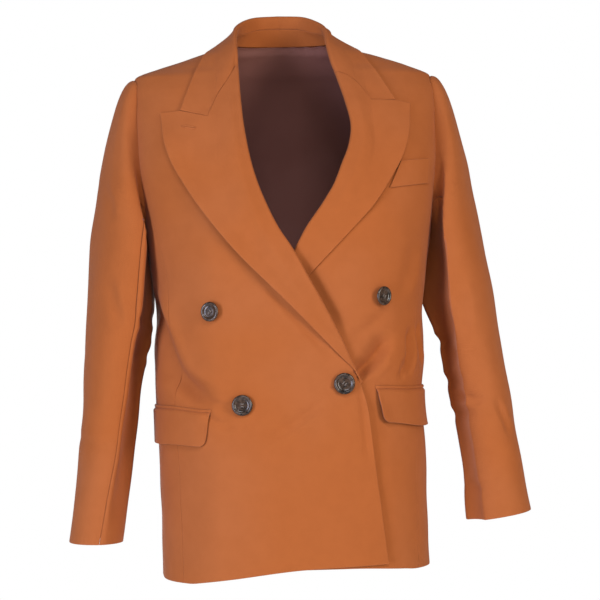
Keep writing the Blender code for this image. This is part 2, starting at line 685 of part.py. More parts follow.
def neck_points(right):
    """The front's neck edge as (x, z), from the roll line to the shoulder seam."""
    top = (OVER_ROLL if right else UNDER_ROLL)[-1]
    sign = side_sign(right)
    wide = section(np.array([NECK_HEIGHT]))[0][0]
    start = (top[0] + sign * ROLL, top[1])
    middle = (sign * NECK_MIDDLE_X, mix(top[1], NECK_HEIGHT, NECK_MIDDLE_SHARE))
    return (start, middle, (sign * wide, NECK_HEIGHT))


def front_panel(right):
    roll = OVER_ROLL if right else UNDER_ROLL
    edge = OVER_EDGE if right else UNDER_EDGE
    inset = beside(roll, ROLL if right else -ROLL)
    edge = np.vstack((np.array(edge)[:-1], inset[0]))
    rows = FRONT_ROWS
    total = sum(rows)
    neck = front_line(neck_points(right))

    def neck_edge(share):
        place = neck(share)
        gap = SEAM / 2 / quarter_length(place[..., 1], True)
        return np.stack((split_turn(place[..., 0], right, True, gap), place[..., 1]), -1)
    inner = chain((
        (rows[0] / total, front_line(edge)),
        ((rows[0] + rows[1]) / total, front_line(inset)),
        (1.0, neck_edge),
    ))
    below = side_seam(right, True)
    towards_middle = -1 if right else 1
    outer = chain((
        (FRONT_ROWS_BELOW / total, moved(below, towards_middle * SEAM / 2, True)),
        (1.0, armhole_line(FRONT_JOIN, 0.0, right, True)),
    ))
    hem = np.array(RIGHT_HEM if right else LEFT_HEM)
    start, end = inner(np.zeros(1))[0], outer(np.zeros(1))[0]

    def bottom(share):
        turn = mix(start[0], end[0], np.asarray(share, float))
        x = form(turn, np.full(turn.shape, end[1]))[..., 0]
        order = np.argsort(hem[:, 0])
        height = curve(hem[order, 0], hem[order, 1], x)
        blend = ramp(share, HEM_CORNER, 1.0)
        return np.stack((turn, mix(height, end[1], blend)), -1)
    edges = (bottom, shoulder_line(right, True), inner, outer)
    name = "front_right" if right else "front_left"
    if right:
        return panel(name, (FRONT_COLUMNS, total), edges, lapping)
    return panel(name, (FRONT_COLUMNS, total), edges, None, LEFT_FOLDS)


def side_panel(right):
    front_seam = side_seam(right, True)
    back_seam = side_seam(right, False)
    away = 1 if right else -1
    start = moved(front_seam, away * SEAM / 2, True)
    end = moved(back_seam, -away * SEAM / 2, False)

    def unwrapped(line):
        if right:
            return line

        def place(share):
            at = line(share)
            return np.stack((np.where(at[..., 0] > 2, at[..., 0] - 4, at[..., 0]), at[..., 1]), -1)
        return place
    start, end = unwrapped(start), unwrapped(end)
    first, last = start(np.ones(1))[0], end(np.ones(1))[0]

    def top(share):
        share = np.asarray(share, float)
        turn, height = armhole(mix(FRONT_JOIN, BACK_JOIN, share), right)
        if not right:
            turn = np.where(turn > 2, turn - 4, turn)
        turn = np.where(share <= 0, first[0], np.where(share >= 1, last[0], turn))
        return np.stack((turn, height), -1)
    edges = (straight(start(np.zeros(1))[0], end(np.zeros(1))[0]), top, start, end)
    name = "side_right" if right else "side_left"
    return panel(name, (SIDE_COLUMNS, SIDE_ROWS), edges)


def back_panel(right):
    """Half the back; its rows are level, so that they end on the shoulder seam one by one."""
    towards_side = -1 if right else 1
    below = moved(side_seam(right, False), -towards_side * SEAM / 2, False)
    total = sum(BACK_ROWS)
    outer = chain((
        (BACK_ROWS[0] / total, below),
        ((BACK_ROWS[0] + BACK_ROWS[1]) / total, armhole_line(BACK_JOIN, 1.0, right, False)),
        (1.0, backwards(shoulder_line(right, False))),
    ))
    hem = below(np.zeros(1))[0]

    def inner(share):
        share = np.asarray(share, float)
        height = outer(share)[..., 1] + (BACK_HEM - hem[1]) * (1 - share)
        gap = SEAM / 2 / quarter_length(height, False)
        return np.stack((3.0 + towards_side * gap, height), -1)
    bottom = straight(inner(np.zeros(1))[0], hem)
    top = straight(inner(np.ones(1))[0], outer(np.ones(1))[0])
    name = "back_right" if right else "back_left"
    return panel(name, (BACK_COLUMNS, total), (bottom, top, inner, outer))


def back_lining():
    """One lining for both backs, a little inside their edges."""
    rows, total = LINING_ROWS, sum(LINING_ROWS)

    def edge(right):
        inward = LINING_INSET if right else -LINING_INSET
        seam = moved(side_seam(right, False), inward, False)
        hole = moved(armhole_line(BACK_JOIN, LINING_TOP_SHARE, right, False), inward, False)
        neck_turn = 2 + LINING_NECK[0] if right else 4 - LINING_NECK[0]
        shoulder = straight(hole(np.ones(1))[0], (neck_turn, LINING_NECK[1]))
        return chain(((rows[0] / total, seam), ((rows[0] + rows[1]) / total, hole), (1.0, shoulder)))
    right_edge, left_edge = edge(True), edge(False)
    lower = LINING_HEM - BACK_HEM

    def raised(line):
        def place(share):
            at = line(share)
            rise = lower * (1 - np.asarray(share, float))**LINING_HEM_FADE
            return np.stack((at[..., 0], at[..., 1] + rise), -1)
        return place
    right_edge, left_edge = raised(right_edge), raised(left_edge)
    bottom = straight(right_edge(np.zeros(1))[0], left_edge(np.zeros(1))[0])
    top = straight(right_edge(np.ones(1))[0], left_edge(np.ones(1))[0])

    def sewn(point):
        return (LINING_GAP - LINING_SEAM) * ramp(point[..., 2], *LINING_SEWN)
    return panel("lining_back", (LINING_COLUMNS, total), (bottom, top, right_edge, left_edge), sewn,
                 (), "brown_lining", SHELL + LINING_GAP, LINING)


def lapel(right):
    """A lapel that rolls round the front's edge, with the facing's first strip behind it."""
    sign = side_sign(right)
    roll = beside(OVER_ROLL if right else UNDER_ROLL, ROLL if right else -ROLL)
    leaf_edge = np.array(OVER_LAPEL_EDGE if right else UNDER_LAPEL_EDGE)
    gorge = np.array(OVER_GORGE if right else UNDER_GORGE)
    notch = OVER_NOTCH if right else UNDER_NOTCH
    tip = np.array(OVER_TIP if right else UNDER_TIP)
    outwards = beside(OVER_ROLL if right else UNDER_ROLL, (ROLL + BREAK_WIDTH) * (1 if right else -1))[0]
    edge_line = through(np.vstack((outwards, leaf_edge[1:])))
    drop = np.array((0.0, -GORGE_GAP))
    roll[-1] += drop
    gorge = np.vstack((roll[-1] - drop, gorge[1:]))
    parts = LAPEL_TOP_CELLS
    total = sum(parts)
    top_line = chain((
        (parts[0] / total, through(gorge)),
        ((parts[0] + parts[1]) / total, through((gorge[-1], notch))),
        (1.0, through((notch, tip))),
    ))

    def top(share):
        return top_line(share) + drop * ramp(share, 1.0, GORGE_FADE)[..., None]
    bottom = through((roll[0], outwards))
    roll_line = through(roll)
    cells_across = FACING_CELLS + ROLL_CELLS + total

    def at(xz, out):
        turn = turn_at_x(xz[..., 0], xz[..., 1])
        if right:
            return laid(turn, xz[..., 1], out + lapping(form(turn, xz[..., 1])))
        return laid(turn, xz[..., 1], out, LEFT_FOLDS)

    def shape(u, v):
        cell = u * cells_across
        fold = np.clip((cell - FACING_CELLS) / ROLL_CELLS, 0, 1) * math.pi - math.pi / 2
        facing = np.clip(1 - cell / FACING_CELLS, 0, 1) * FACING_WIDTH
        leaf = np.clip((cell - FACING_CELLS - ROLL_CELLS) / total, 0, 1)
        rows = patch(leaf, v, bottom, top, roll_line, edge_line)
        along = roll_line(np.clip(v + LINE_STEP, 0, 1)) - roll_line(np.clip(v - LINE_STEP, 0, 1))
        along /= np.linalg.norm(along, axis=-1, keepdims=True)
        away = np.stack((-along[..., 1], along[..., 0]), -1) * (1 if right else -1)
        width = np.linalg.norm(edge_line(v) - roll_line(v), axis=-1)
        reach = leaf * width
        bow = LAPEL_BOW * ramp(reach, *BOW_RISE) * ramp(reach, *BOW_FALL) * ramp(width, *BOW_WIDTHS)
        bow = bow * mix(1.0, BOW_TOP, ramp(v, BOW_TOP_SHARE, 1.0))
        if not right:
            bow = bow * ramp(rows[..., 1], *UNDER_BOW_HEIGHTS)
        sides = []
        for radius in (ROLL, ROLL - SHELL):
            beyond = facing - radius * np.cos(fold)
            out = -SHELL / 2 + radius * np.sin(fold) + bow
            sides.append(at(rows + away * beyond[..., None], out))
        return sides
    name = "lapel_right" if right else "lapel_left"
    return cloth(name, "rust_twill", (cells_across, LAPEL_ROWS), shape)


def collar_table(v, first):
    """Reads three columns of the collar from its right front end round to the left one."""
    share = 1 - np.abs(2 * v - 1)
    right = v <= 0.5
    result = []
    for column in range(first, first + 3):
        sides = [curve(COLLARS[side][:, 0], COLLARS[side][:, column], share) for side in ("right", "left")]
        result.append(np.where(right, sides[0], sides[1]))
    result[0] = result[0] * np.where(right, -1, 1)
    return np.stack(result, -1)


def collar_frame(v):
    """Roll of the collar, the way from its inner to its outer leaf, and the way up over the fold."""
    roll = collar_table(v, ROLL_COLUMN)
    ahead, behind = np.clip(v + LINE_STEP, 0, 1), np.clip(v - LINE_STEP, 0, 1)
    tangent = collar_table(ahead, ROLL_COLUMN) - collar_table(behind, ROLL_COLUMN)
    tangent /= np.linalg.norm(tangent, axis=-1, keepdims=True)
    outward = sum(body_gap(collar_table(np.clip(v + move, 0, 1), ROLL_COLUMN))[1]
                  for move in COLLAR_SMOOTHING)
    outward -= tangent * (outward * tangent).sum(-1, keepdims=True)
    outward /= np.linalg.norm(outward, axis=-1, keepdims=True)
    over = np.cross(outward, tangent)
    over *= np.sign((over * (np.array(OVER_NECK) - roll)).sum(-1, keepdims=True))
    return roll, outward, over


def collar_drop(v):
    share = 1 - np.abs(2 * v - 1)
    return mix(FRONT_DROP, STAND_DROP, ramp(share, *DROP_SHARES))


def hermite(start, end, leave, arrive, t):
    t = t[..., None]
    return ((2 * t**3 - 3 * t**2 + 1) * start + (t**3 - 2 * t**2 + t) * leave
            + (3 * t**2 - 2 * t**3) * end + (t**3 - t**2) * arrive)


def collar_end(share, right):
    """The collar's front end on the body: along the gorge, then to the collar's corner."""
    gorge = np.array(OVER_GORGE if right else UNDER_GORGE)
    roll = beside(OVER_ROLL if right else UNDER_ROLL, ROLL if right else -ROLL)
    gorge = np.vstack((roll[-1], gorge[1:]))
    notch = OVER_NOTCH if right else UNDER_NOTCH
    cells = LAPEL_TOP_CELLS[:2]
    line = chain(((cells[0] / sum(cells), through(gorge)), (1.0, through((gorge[-1], notch)))))
    xz = line(share)
    return laid(turn_at_x(xz[..., 0], xz[..., 1]), xz[..., 1], np.full(share.shape, SHELL + LAYER))


def collar_leaf(v, share):
    """The fall's outer face, from the fold down to its outer edge."""
    roll, outward, over = collar_frame(v)
    start = roll - over * ROLL + outward * ROLL
    end = collar_table(v, EDGE_COLUMN)
    size = np.linalg.norm(end - start, axis=-1, keepdims=True)
    return hermite(start, end, -over * size * COLLAR_LEAVE, (end - start) * COLLAR_ARRIVE, share)


def collar_fall():
    leaf_cells = sum(LAPEL_TOP_CELLS[:2])
    cells_across = COLLAR_INNER_CELLS + ROLL_CELLS + leaf_cells

    def place(u, v):
        cell = u * cells_across
        roll, outward, over = collar_frame(v)
        centre = roll - over * ROLL
        fold = np.clip((cell - COLLAR_INNER_CELLS) / ROLL_CELLS, 0, 1) * math.pi
        inside = np.clip(1 - cell / COLLAR_INNER_CELLS, 0, 1) * collar_drop(v)
        turned = (centre - outward * (ROLL * np.cos(fold))[..., None]
                  + over * (ROLL * np.sin(fold) - inside)[..., None])
        share = np.clip((cell - COLLAR_INNER_CELLS - ROLL_CELLS) / leaf_cells, 0, 1)
        leaf = collar_leaf(v, share)
        for right, end in ((True, 0.0), (False, 1.0)):
            change = collar_end(share, right) - collar_leaf(np.full(v.shape, end), share)
            near = ramp(np.abs(v - end), COLLAR_END_FADE, 0.0) * ramp(share, 0.0, COLLAR_FOLD_KEEP)
            leaf = leaf + change * near[..., None]
        leaf = mix(leaf, clear_of_body(leaf, SHELL + LAYER), ramp(share, 0.0, COLLAR_CLEAR_FROM)[..., None])
        return np.where((share > 0)[..., None], leaf, turned)
    shape = thickened(place, SHELL, COLLAR_FLIP)
    return cloth("collar_fall", "rust_twill", (cells_across, COLLAR_CELLS), shape)


def neck_edge_place(v):
    """The neck seam of the fronts and backs as (turn, height), from right front to left front."""
    share = 1 - np.abs(2 * v - 1)
    result = np.zeros(v.shape + (2,))
    for right, here in ((True, v <= 0.5), (False, v > 0.5)):
        front = front_line(neck_points(right))(np.clip(share / NECK_FRONT_SHARE, 0, 1))
        around = np.clip((share - NECK_FRONT_SHARE) / (1 - NECK_FRONT_SHARE), 0, 1)
        back = np.stack((2 + around if right else 4 - around, np.full(v.shape, NECK_HEIGHT)), -1)
        side = np.where((share <= NECK_FRONT_SHARE)[..., None], front, back)
        result = np.where(here[..., None], side, result)
    return result


def collar_stand():
    def shape(u, v):
        v = mix((1 - STAND_REACH) / 2, (1 + STAND_REACH) / 2, v)
        roll, outward, over = collar_frame(v)
        top = roll - over * (ROLL + collar_drop(v) + SEAM)[..., None] - outward * ROLL
        edge = neck_edge_place(v)
        raised = edge[..., 1] + STAND_GAP
        base = form(edge[..., 0], raised)
        normal = facing_out(edge[..., 0], raised)
        outer = mix(base - normal * SHELL, top, u[..., None])
        inner = mix(base, top + outward * SHELL, u[..., None])
        return outer, inner
    return cloth("collar_stand", "rust_twill", (STAND_ROWS, STAND_CELLS), shape)


def sleeve_ring(side, around, height):
    """A level section of a sleeve's lower part: around 0 is its outer side, 0.25 its front."""
    table = SLEEVES[side]
    outer_x, inner_x, middle_y, half_depth, twist = (
        curve(-table[:, 0], table[:, column], -height) for column in range(1, len(SLEEVE_COLUMNS)))
    angle = around * 2 * math.pi
    power = 2 / SLEEVE_SQUARENESS
    across = np.sign(np.cos(angle)) * np.abs(np.cos(angle))**power
    deep = np.sign(np.sin(angle)) * np.abs(np.sin(angle))**power
    crease = np.zeros(np.shape(around))
    for crease_side, place, share, half_height, half_share, depth in SLEEVE_CREASES:
        if crease_side == side:
            off = ((height - place) / half_height)**2 + (((around + 0.5) % 1 - 0.5 - share) / half_share)**2
            crease = crease + depth * np.exp(-off)
    x = (outer_x - inner_x) / 2 * across - crease * across
    y = half_depth * deep - crease * deep
    turn = np.radians(twist)
    turned_x = x * np.cos(turn) - y * np.sin(turn)
    turned_y = x * np.sin(turn) + y * np.cos(turn)
    sign = side_sign(side == "right")
    return np.stack((sign * ((outer_x + inner_x) / 2 + turned_x), middle_y - turned_y,
                     np.broadcast_to(height, np.shape(around))), -1)


def sleeve_place(side, around, along):
    """A sleeve's outer face: along 0 is the armhole, CAP_SHARE the biceps, 1 the cuff."""
    right = side == "right"
    sign = side_sign(right)
    table = SLEEVES[side]
    biceps, cuff = table[0, 0], table[-1, 0]
    t = np.clip(along / CAP_SHARE, 0, 1)
    turn, height = armhole(around % 1.0, right)
    start = form(turn, height) + facing_out(turn, height) * SLEEVE_SEAM
    ring = sleeve_ring(side, around, np.full(np.shape(around), biceps))
    up = (1 + np.cos(2 * math.pi * around)) / 2
    forward = np.sin(2 * math.pi * around)
    leave = np.stack((sign * (CAP_LEAVE + CAP_PUSH * up), -CAP_FORWARD * forward,
                      CAP_RISE * up - CAP_FALL * (1 - up)), -1)
    size = np.linalg.norm(ring - start, axis=-1)
    below = sleeve_ring(side, around, np.full(np.shape(around), biceps - CAP_STEP))
    arrive = (below - ring) / CAP_STEP * (size * CAP_ARRIVE)[..., None]
    cap = hermite(start, ring, leave, arrive, t)
    down = np.clip((along - CAP_SHARE) / (1 - CAP_SHARE), 0, 1)
    level = mix(biceps, cuff, down)
    tube = sleeve_ring(side, around, level)
    middle = (table[-1, 1] + table[-1, 2]) / 2
    tube[..., 2] += CUFF_TILT[side] * (np.abs(tube[..., 0]) - middle) * down**CUFF_TILT_POWER
    place = np.where((along < CAP_SHARE)[..., None], cap, tube)
    distance = mix(SLEEVE_SEAM_CLEAR, SLEEVE_CLEAR, ramp(along, 0.0, CAP_SHARE * CLEAR_BY))
    cleared = clear_of_body(place, distance)
    return np.where((along > 0)[..., None], cleared, place)


def sleeve(side, upper):
    right = side == "right"
    gap = SLEEVE_SEAM_GAP

    def place(u, v):
        settled = ramp(v, 0.0, SEAMS_SETTLE)
        front = mix(SLEEVE_SEAMS_TOP[0], SLEEVE_SEAMS[side][0], settled)
        back = mix(SLEEVE_SEAMS_TOP[1], SLEEVE_SEAMS[side][1], settled)
        if upper:
            around = mix(back - 1 + gap, front - gap, u)
        else:
            around = mix(front + gap, back - gap, u)
        return sleeve_place(side, around, v)
    columns = UPPER_COLUMNS if upper else UNDER_COLUMNS
    name = f"sleeve_{'upper' if upper else 'under'}_{side}"
    shape = thickened(place, SHELL, -1 if right else 1, SLEEVE_RUNS_ON)
    return cloth(name, "rust_twill", (columns, SLEEVE_ROWS), shape)


def flap(side, front_x, top_z, length, depth):
    """A pocket flap and the jet above it, from the front end round to the side."""
    right = side == "right"
    start = float(turn_at_x(front_x, top_z))
    around = length / float(quarter_length(top_z, True)) * (1 if right else -1)

    def on_panel(run, height, out):
        turn = start + around * run / length
        lift = lapping(form(turn, height)) if right else 0.0
        return laid(turn, height, out + lift)

    def flap_shape(u, v):
        run = u**FLAP_SPACING * length
        corner = np.clip(FLAP_CORNER - run, 0, None)
        reach = depth - FLAP_CORNER + np.sqrt(FLAP_CORNER**2 - corner**2)
        lean = FLAP_LEAN * v * depth * (1 - u)
        height = top_z - v * reach
        out = LAYER + SHELL + FLAP_BULGE * ramp(v, 0.0, FLAP_BULGE_BY)
        run = run + lean
        return on_panel(run, height, out), on_panel(run, height, out - SHELL)

    def jet_shape(u, v):
        run = mix(-JET_OVERHANG, length + JET_OVERHANG, u)
        height = top_z + SEAM + v * JET_DEPTH
        out = np.full(u.shape, LAYER + SHELL)
        return on_panel(run, height, out), on_panel(run, height, out - SHELL)
    cloth(f"pocket_flap_{side}", "rust_twill", FLAP_CELLS, flap_shape)
    cloth(f"pocket_jet_{side}", "rust_twill", JET_CELLS, jet_shape)


def breast_welt():
    top, bottom = through(WELT_TOP), through(WELT_BOTTOM)

    def shape(u, v):
        xz = mix(bottom(u), top(u), v[..., None])
        turn = turn_at_x(xz[..., 0], xz[..., 1])
        out = np.full(u.shape, LAYER + SHELL)
        return laid(turn, xz[..., 1], out), laid(turn, xz[..., 1], out - SHELL)
    return cloth("breast_welt", "rust_twill", WELT_CELLS, shape)


def button(name, x, z):
    """A turned button, seated on the front at (x, z)."""
    turn = turn_at_x(np.array([x]), np.array([z]))
    height = np.array([z])
    lift = lapping(form(turn, height)) if name != "button_upper_left" else np.zeros(1)
    seat = laid(turn, height, lift + BUTTON_SEAT)[0]
    step = BUTTON_RADIUS / 2
    aside = step / quarter_length(height, True)
    round_it = laid(turn + aside, height, lift)[0] - laid(turn - aside, height, lift)[0]
    up = laid(turn, height + step, lift)[0] - laid(turn, height - step, lift)[0]
    normal = np.cross(up, round_it)
    body = bmesh.new()
    verts = [body.verts.new((radius, 0.0, level)) for radius, level in BUTTON_PROFILE]
    for first, second in zip(verts, verts[1:]):
        body.edges.new((first, second))
    mesh = bpy.data.meshes.new(name)
    body.to_mesh(mesh)
    body.free()
    piece = own_object(name, mesh, "dark_horn")
    turned = piece.modifiers.new("turned", "SCREW")
    turned.axis = "Z"
    turned.steps = turned.render_steps = BUTTON_SIDES
    turned.use_merge_vertices = True
    turned.merge_threshold = BUTTON_WELD
    turned.use_smooth_shade = True
    piece.rotation_mode = "QUATERNION"
    piece.rotation_quaternion = Vector(normal).to_track_quat("Z", "Y")
    piece.location = seat
    return piece


def build():
    for right in (True, False):
        front_panel(right)
        side_panel(right)
        back_panel(right)
        lapel(right)
    back_lining()
    collar_fall()
    collar_stand()
    for side in ("right", "left"):
        for upper in (True, False):
            sleeve(side, upper)
    for row in FLAPS:
        flap(*row)
    breast_welt()
    for name, x, z in BUTTON_PLACES:
        button(name, x, z)


for old in list(bpy.data.objects):
    bpy.data.objects.remove(old, do_unlink=True)
bpy.context.scene.collection.children.link(bpy.data.collections.new(COLLECTION))
build()
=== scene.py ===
"""Double breasted blazer of rust twill, filled out and empty, with its lining and horn buttons.

Metres, +Z up, the front faces -Y and the wearer's right side is at -X. The origin lies between
the shoulders at the height of the neck seam.

Every cloth piece is a grid of points bent over one body form and closed into a thin shell with
rounded edges. The body form is a stack of level sections; `turn` runs round a section: 0 is the
wearer's left side, 1 the middle of the front, 2 the right side, 3 the middle back. A line of the
cut is a function of the share of its length.
"""

import itertools
import math

import bpy
import numpy as np
from mathutils import Matrix, Vector
from mathutils.bvhtree import BVHTree


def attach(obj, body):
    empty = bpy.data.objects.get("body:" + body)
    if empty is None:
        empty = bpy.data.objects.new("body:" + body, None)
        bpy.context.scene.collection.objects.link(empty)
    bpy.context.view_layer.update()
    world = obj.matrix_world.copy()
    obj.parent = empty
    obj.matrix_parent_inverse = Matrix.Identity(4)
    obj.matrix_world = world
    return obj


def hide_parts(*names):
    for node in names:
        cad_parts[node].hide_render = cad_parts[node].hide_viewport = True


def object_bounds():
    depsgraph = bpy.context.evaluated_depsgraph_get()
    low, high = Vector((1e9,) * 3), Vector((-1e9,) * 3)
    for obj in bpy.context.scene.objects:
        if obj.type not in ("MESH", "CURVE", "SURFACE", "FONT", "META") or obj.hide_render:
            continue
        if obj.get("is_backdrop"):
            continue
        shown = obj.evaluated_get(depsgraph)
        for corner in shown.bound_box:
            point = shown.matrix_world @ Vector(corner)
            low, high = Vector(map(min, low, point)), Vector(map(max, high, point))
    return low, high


SIGN = {"right": -1.0, "left": 1.0}
TENTHS = 10000            # tenths of a millimetre in a metre


def seen(*numbers):
    """Points of a flat view, mostly (x, z) seen from the front, from tenths of a millimetre."""
    return np.reshape(numbers, (-1, 2)) / TENTHS


# Cloth and sewing sizes
SHELL, LINING, LAYER = 0.0016, 0.0010, 0.0010
SEAM, SEWN_ROUND = 0.00002, 0.00003
SEAM_DIP, SEAM_DIP_WIDTH = 0.00002, 0.0024
ROLL = SHELL / 2 + LAYER + SHELL
LEAF_SWELL = (0.0009, 0.0045)
HEM_FACING, FRONT_FACING = 0.040, 0.070
UNLINED = ("rust_twill",)

X, Z = 0, 2
LAPS = (                  # where the right front stands off over a layer: (height, its ramps)
    (0.0052, ((X, -0.150, -0.100), (Z, -0.165, -0.240))),
    (0.0036, ((X, -0.065, -0.025), (X, 0.075, 0.035), (Z, -0.190, -0.245), (Z, -0.405, -0.345))),
)

# Grids: places of the lines next to an edge, sizes of the cells beyond them, and nominal lengths
EDGE_LINES = np.array((0.0, 0.0003, 0.0009, 0.0018, 0.0032))
CELL, FRONT_CELL, SIDE_ROW, FINE_CELL, SMALL_CELL = 0.0038, 0.0026, 0.0020, 0.0025, 0.0014
BODY_LENGTH, SIDE_LENGTH, SLEEVE_LENGTH, LAPEL_LENGTH, COLLAR_LENGTH = 0.70, 0.46, 0.60, 0.43, 0.44
FRONT_WIDTH, SIDE_WIDTH, BACK_WIDTH, LINING_WIDTH = 0.25, 0.16, 0.18, 0.30
LAPEL_WIDTH, COLLAR_WIDTH, STAND_WIDTH, STAND_LENGTH = 0.09, 0.075, 0.022, 0.28
SLEEVE_WIDTHS = {"upper": 0.20, "under": 0.10}
WELT_WIDTH, WELT_DEPTH = 0.055, 0.033
FOLD_LINES, JET_LINES = 14, 13
PROBE = np.s_[::8, -6]    # points of a grid that show which way it faces

# Sections of the body form: height, half width, middle y, front depth, back depth, squareness
# and middle x
BODY_SECTIONS = np.array((
    (-7200, 1735, 0, 1280, 1120, 27, 0), (-5600, 1728, 0, 1280, 1080, 27, -10),
    (-4500, 1728, 0, 1280, 1010, 26, -38), (-4150, 1747, 0, 1285, 1003, 26, -22),
    (-3850, 1752, 0, 1290, 1000, 26, -30), (-3550, 1746, 0, 1297, 1010, 26, -36),
    (-3000, 1790, 0, 1300, 1040, 26, 0), (-2200, 1880, 0, 1260, 1100, 26, 0),
    (-1500, 1970, 20, 1090, 1070, 26, 0), (-900, 1995, 80, 860, 930, 25, 0),
    (-600, 1995, 120, 710, 820, 23, 0), (-400, 1935, 150, 590, 730, 21, 0),
    (-280, 1640, 160, 500, 670, 20, 0), (-150, 1250, 170, 420, 620, 20, 0),
    (0, 800, 180, 340, 570, 20, 0), (120, 640, 180, 300, 540, 20, 0),
    (600, 560, 180, 300, 520, 20, 0),
)) / (*[TENTHS] * 5, 10, TENTHS)
RING_STEPS = 64
SLOPE_STEP, LINE_STEP = 0.0004, 0.01
CLEARING_ROUNDS, CLEARING_LIMIT = 4, 0.03

# Edges of the fronts, backs and sides
NECK_HEIGHT, TIP_HEIGHT = 0.004, -0.042
NECK_MIDDLE_X, NECK_MIDDLE_SHARE = 0.0715, 0.50
HEM_CORNER = 0.9
FRONT_EDGES = {             # up to where the lapel breaks
    "right": seen(1070, -6690, 990, -6020, 890, -5140, 840, -4710),
    "left": seen(-980, -6720, -920, -5600),
}
ROLL_LINES = {
    "right": seen(790, -4380, 718, -4226, 643, -4067, 560, -3876, 480, -3715, 345, -3440, 150,
                 -3070, -68, -2660, -225, -2415, -350, -2145, -520, -1610, -590, -1150, -615, -700,
                 -615, -300),
    "left": seen(-860, -4550, -400, -3450, 30, -2580, 140, -2390, 228, -2269, 322, -2144, 405,
                -2019, 486, -1894, 548, -1766, 610, -1620, 715, -1380, 765, -1150, 720, -800, 625,
                -410),
}
HEMS = {
    "right": seen(-1450, -6890, -920, -6820, 0, -6720, 1070, -6690),
    "left": seen(-980, -6720, 600, -6730, 1550, -6790),
}
SIDE_HEMS = {             # height of the hem at each side seam
    "right": {"front": -0.688, "back": -0.684}, "left": {"front": -0.679, "back": -0.678},
}
BACK_HEM = -0.682
SIDE_SEAMS = {            # (height, distance from the middle) below the armhole, front and back
    "front": seen(-6900, 1500, -5600, 1520, -4500, 1550, -3700, 1560, -2900, 1640, -2250, 1785),
    "back": seen(-6900, 1450, -5600, 1450, -4500, 1450, -3700, 1480, -2900, 1580, -2150, 1780),
}
# Shares of a front's, a back's and the lining's rows at which one edge line follows another
BREAK_SHARE, SIDE_SHARE, NECK_SHARE = 9 / 28, 18 / 28, 26 / 28
BACK_SIDE_SHARE, BACK_ARMHOLE_SHARE = 0.6, 0.8
LINING_SIDE_SHARE, LINING_ARMHOLE_SHARE = 0.4, 0.65
LINING_GAP, LINING_SEAM, LINING_INSET = 0.0050, 0.0006, 0.012
LINING_HEM, LINING_HEM_FADE = -0.655, 6
LINING_TOP_SHARE, LINING_SEWN = 0.80, (-0.004, 0.004)
LINING_NECK_TURN, LINING_NECK_HEIGHT = 0.70, 0.0055
PUCKER_HEIGHT, PUCKER_FADE, PUCKERS, PUCKER_DRIFT = 0.0010, 0.014, 110, 23

# Armhole, seen from the side: share of its length from the shoulder point, y and z
ARMHOLE = np.array((
    (0, 148, -420), (50, -30, -475), (100, -140, -665), (190, -270, -1100), (290, -390, -1680),
    (390, -340, -2150), (500, 80, -2400), (610, 480, -2120), (710, 600, -1620), (810, 580, -1080),
    (900, 450, -670), (950, 320, -490), (1000, 148, -420),
)) / (1000, TENTHS, TENTHS)
JOINS = {"front": 0.375, "back": 0.625}       # shares at which the side seams end in it

# Sleeves: height, outer and inner x, middle y, half depth and twist
SLEEVES = {
    "right": np.array((
        (-2620, 2545, 1640, 40, 740, 14), (-3100, 2600, 1640, -10, 720, 12),
        (-3450, 2630, 1664, -30, 700, 10), (-3850, 2660, 1812, -60, 670, 8),
        (-4600, 2720, 1980, -120, 600, 4), (-5300, 2790, 2075, -180, 540, 2),
        (-5900, 2870, 2170, -240, 500, 0), (-6370, 2940, 2250, -300, 480, 0),
    )) / (*[TENTHS] * 5, 1),
    "left": np.array((
        (-2620, 2570, 1700, 40, 740, 14), (-3200, 2670, 1700, -10, 720, 12),
        (-3900, 2750, 1930, -60, 670, 8), (-4500, 2840, 2040, -120, 600, 4),
        (-5350, 2940, 2185, -180, 540, 2), (-5800, 3000, 2220, -240, 510, 0),
        (-6180, 3060, 2225, -300, 490, 0),
    )) / (*[TENTHS] * 5, 1),
}
FRONT_SEAMS = {           # shares of the sleeve's length, and shares round it, of the front seam
    "right": np.array(((0.0, 0.375, 0.485, 0.570, 0.633, 0.700, 0.780, 0.864, 0.948, 1.0),
                       (0.385, 0.245, 0.248, 0.262, 0.272, 0.282, 0.283, 0.275, 0.268, 0.262))),
    "left": np.array(((0.0, 0.375, 0.463, 0.553, 0.644, 0.735, 0.826, 0.872, 0.939, 1.0),
                      (0.385, 0.250, 0.258, 0.286, 0.328, 0.348, 0.360, 0.362, 0.355, 0.345))),
}
BACK_SEAM, BACK_SEAM_TOP, SEAMS_SETTLE = 0.660, 0.640, 0.45
SLEEVE_SQUARENESS = 2.3
UNDERSIDE = 0.5           # share round the sleeve at which its underside meets the body
SLEEVE_SEAM, SLEEVE_SEAM_CLEAR, SLEEVE_CLEAR = 0.0006, 0.00054, 0.0035
SLEEVE_SEAM_GAP, SLEEVE_SEAM_DIP = 0.0004, 0.0005
CAP_SHARE, CAP_STEP = 0.375, 0.01
CAP_PUSH, CAP_LEAVE, CAP_ARRIVE = 0.075, 0.016, 0.9
CAP_FORWARD, CAP_RISE, CAP_FALL = 0.030, 0.012, 0.010
CLEAR_BELOW = {"right": (0.342, 0.385), "left": (0.305, 0.360)}
CUFF_TILT, CUFF_TILT_POWER = {"right": 0.03, "left": 0.15}, 4
HOLLOW = 1.7              # how deep the underside folds in, 1 for a straight one
HOLLOW_FROM = {"right": 0.022, "left": 0.0}    # share round past the seam at which it turns in
UNDER_FLAT_FROM = 0.80    # share of the length below which the underside fills out again
UNDER_FLAT_END = {"right": 0.20, "left": 0.85}
HEAD_TURNS_IN = {"right": (0.34, 0.40), "left": (0.30, 0.36)}      # shares round, behind the chest
TUCK = (0.0060, 0.0042, 0.0026, 0.0012)        # depths of the sleeve's seam allowance
TUCK_ASIDE = 0.0003
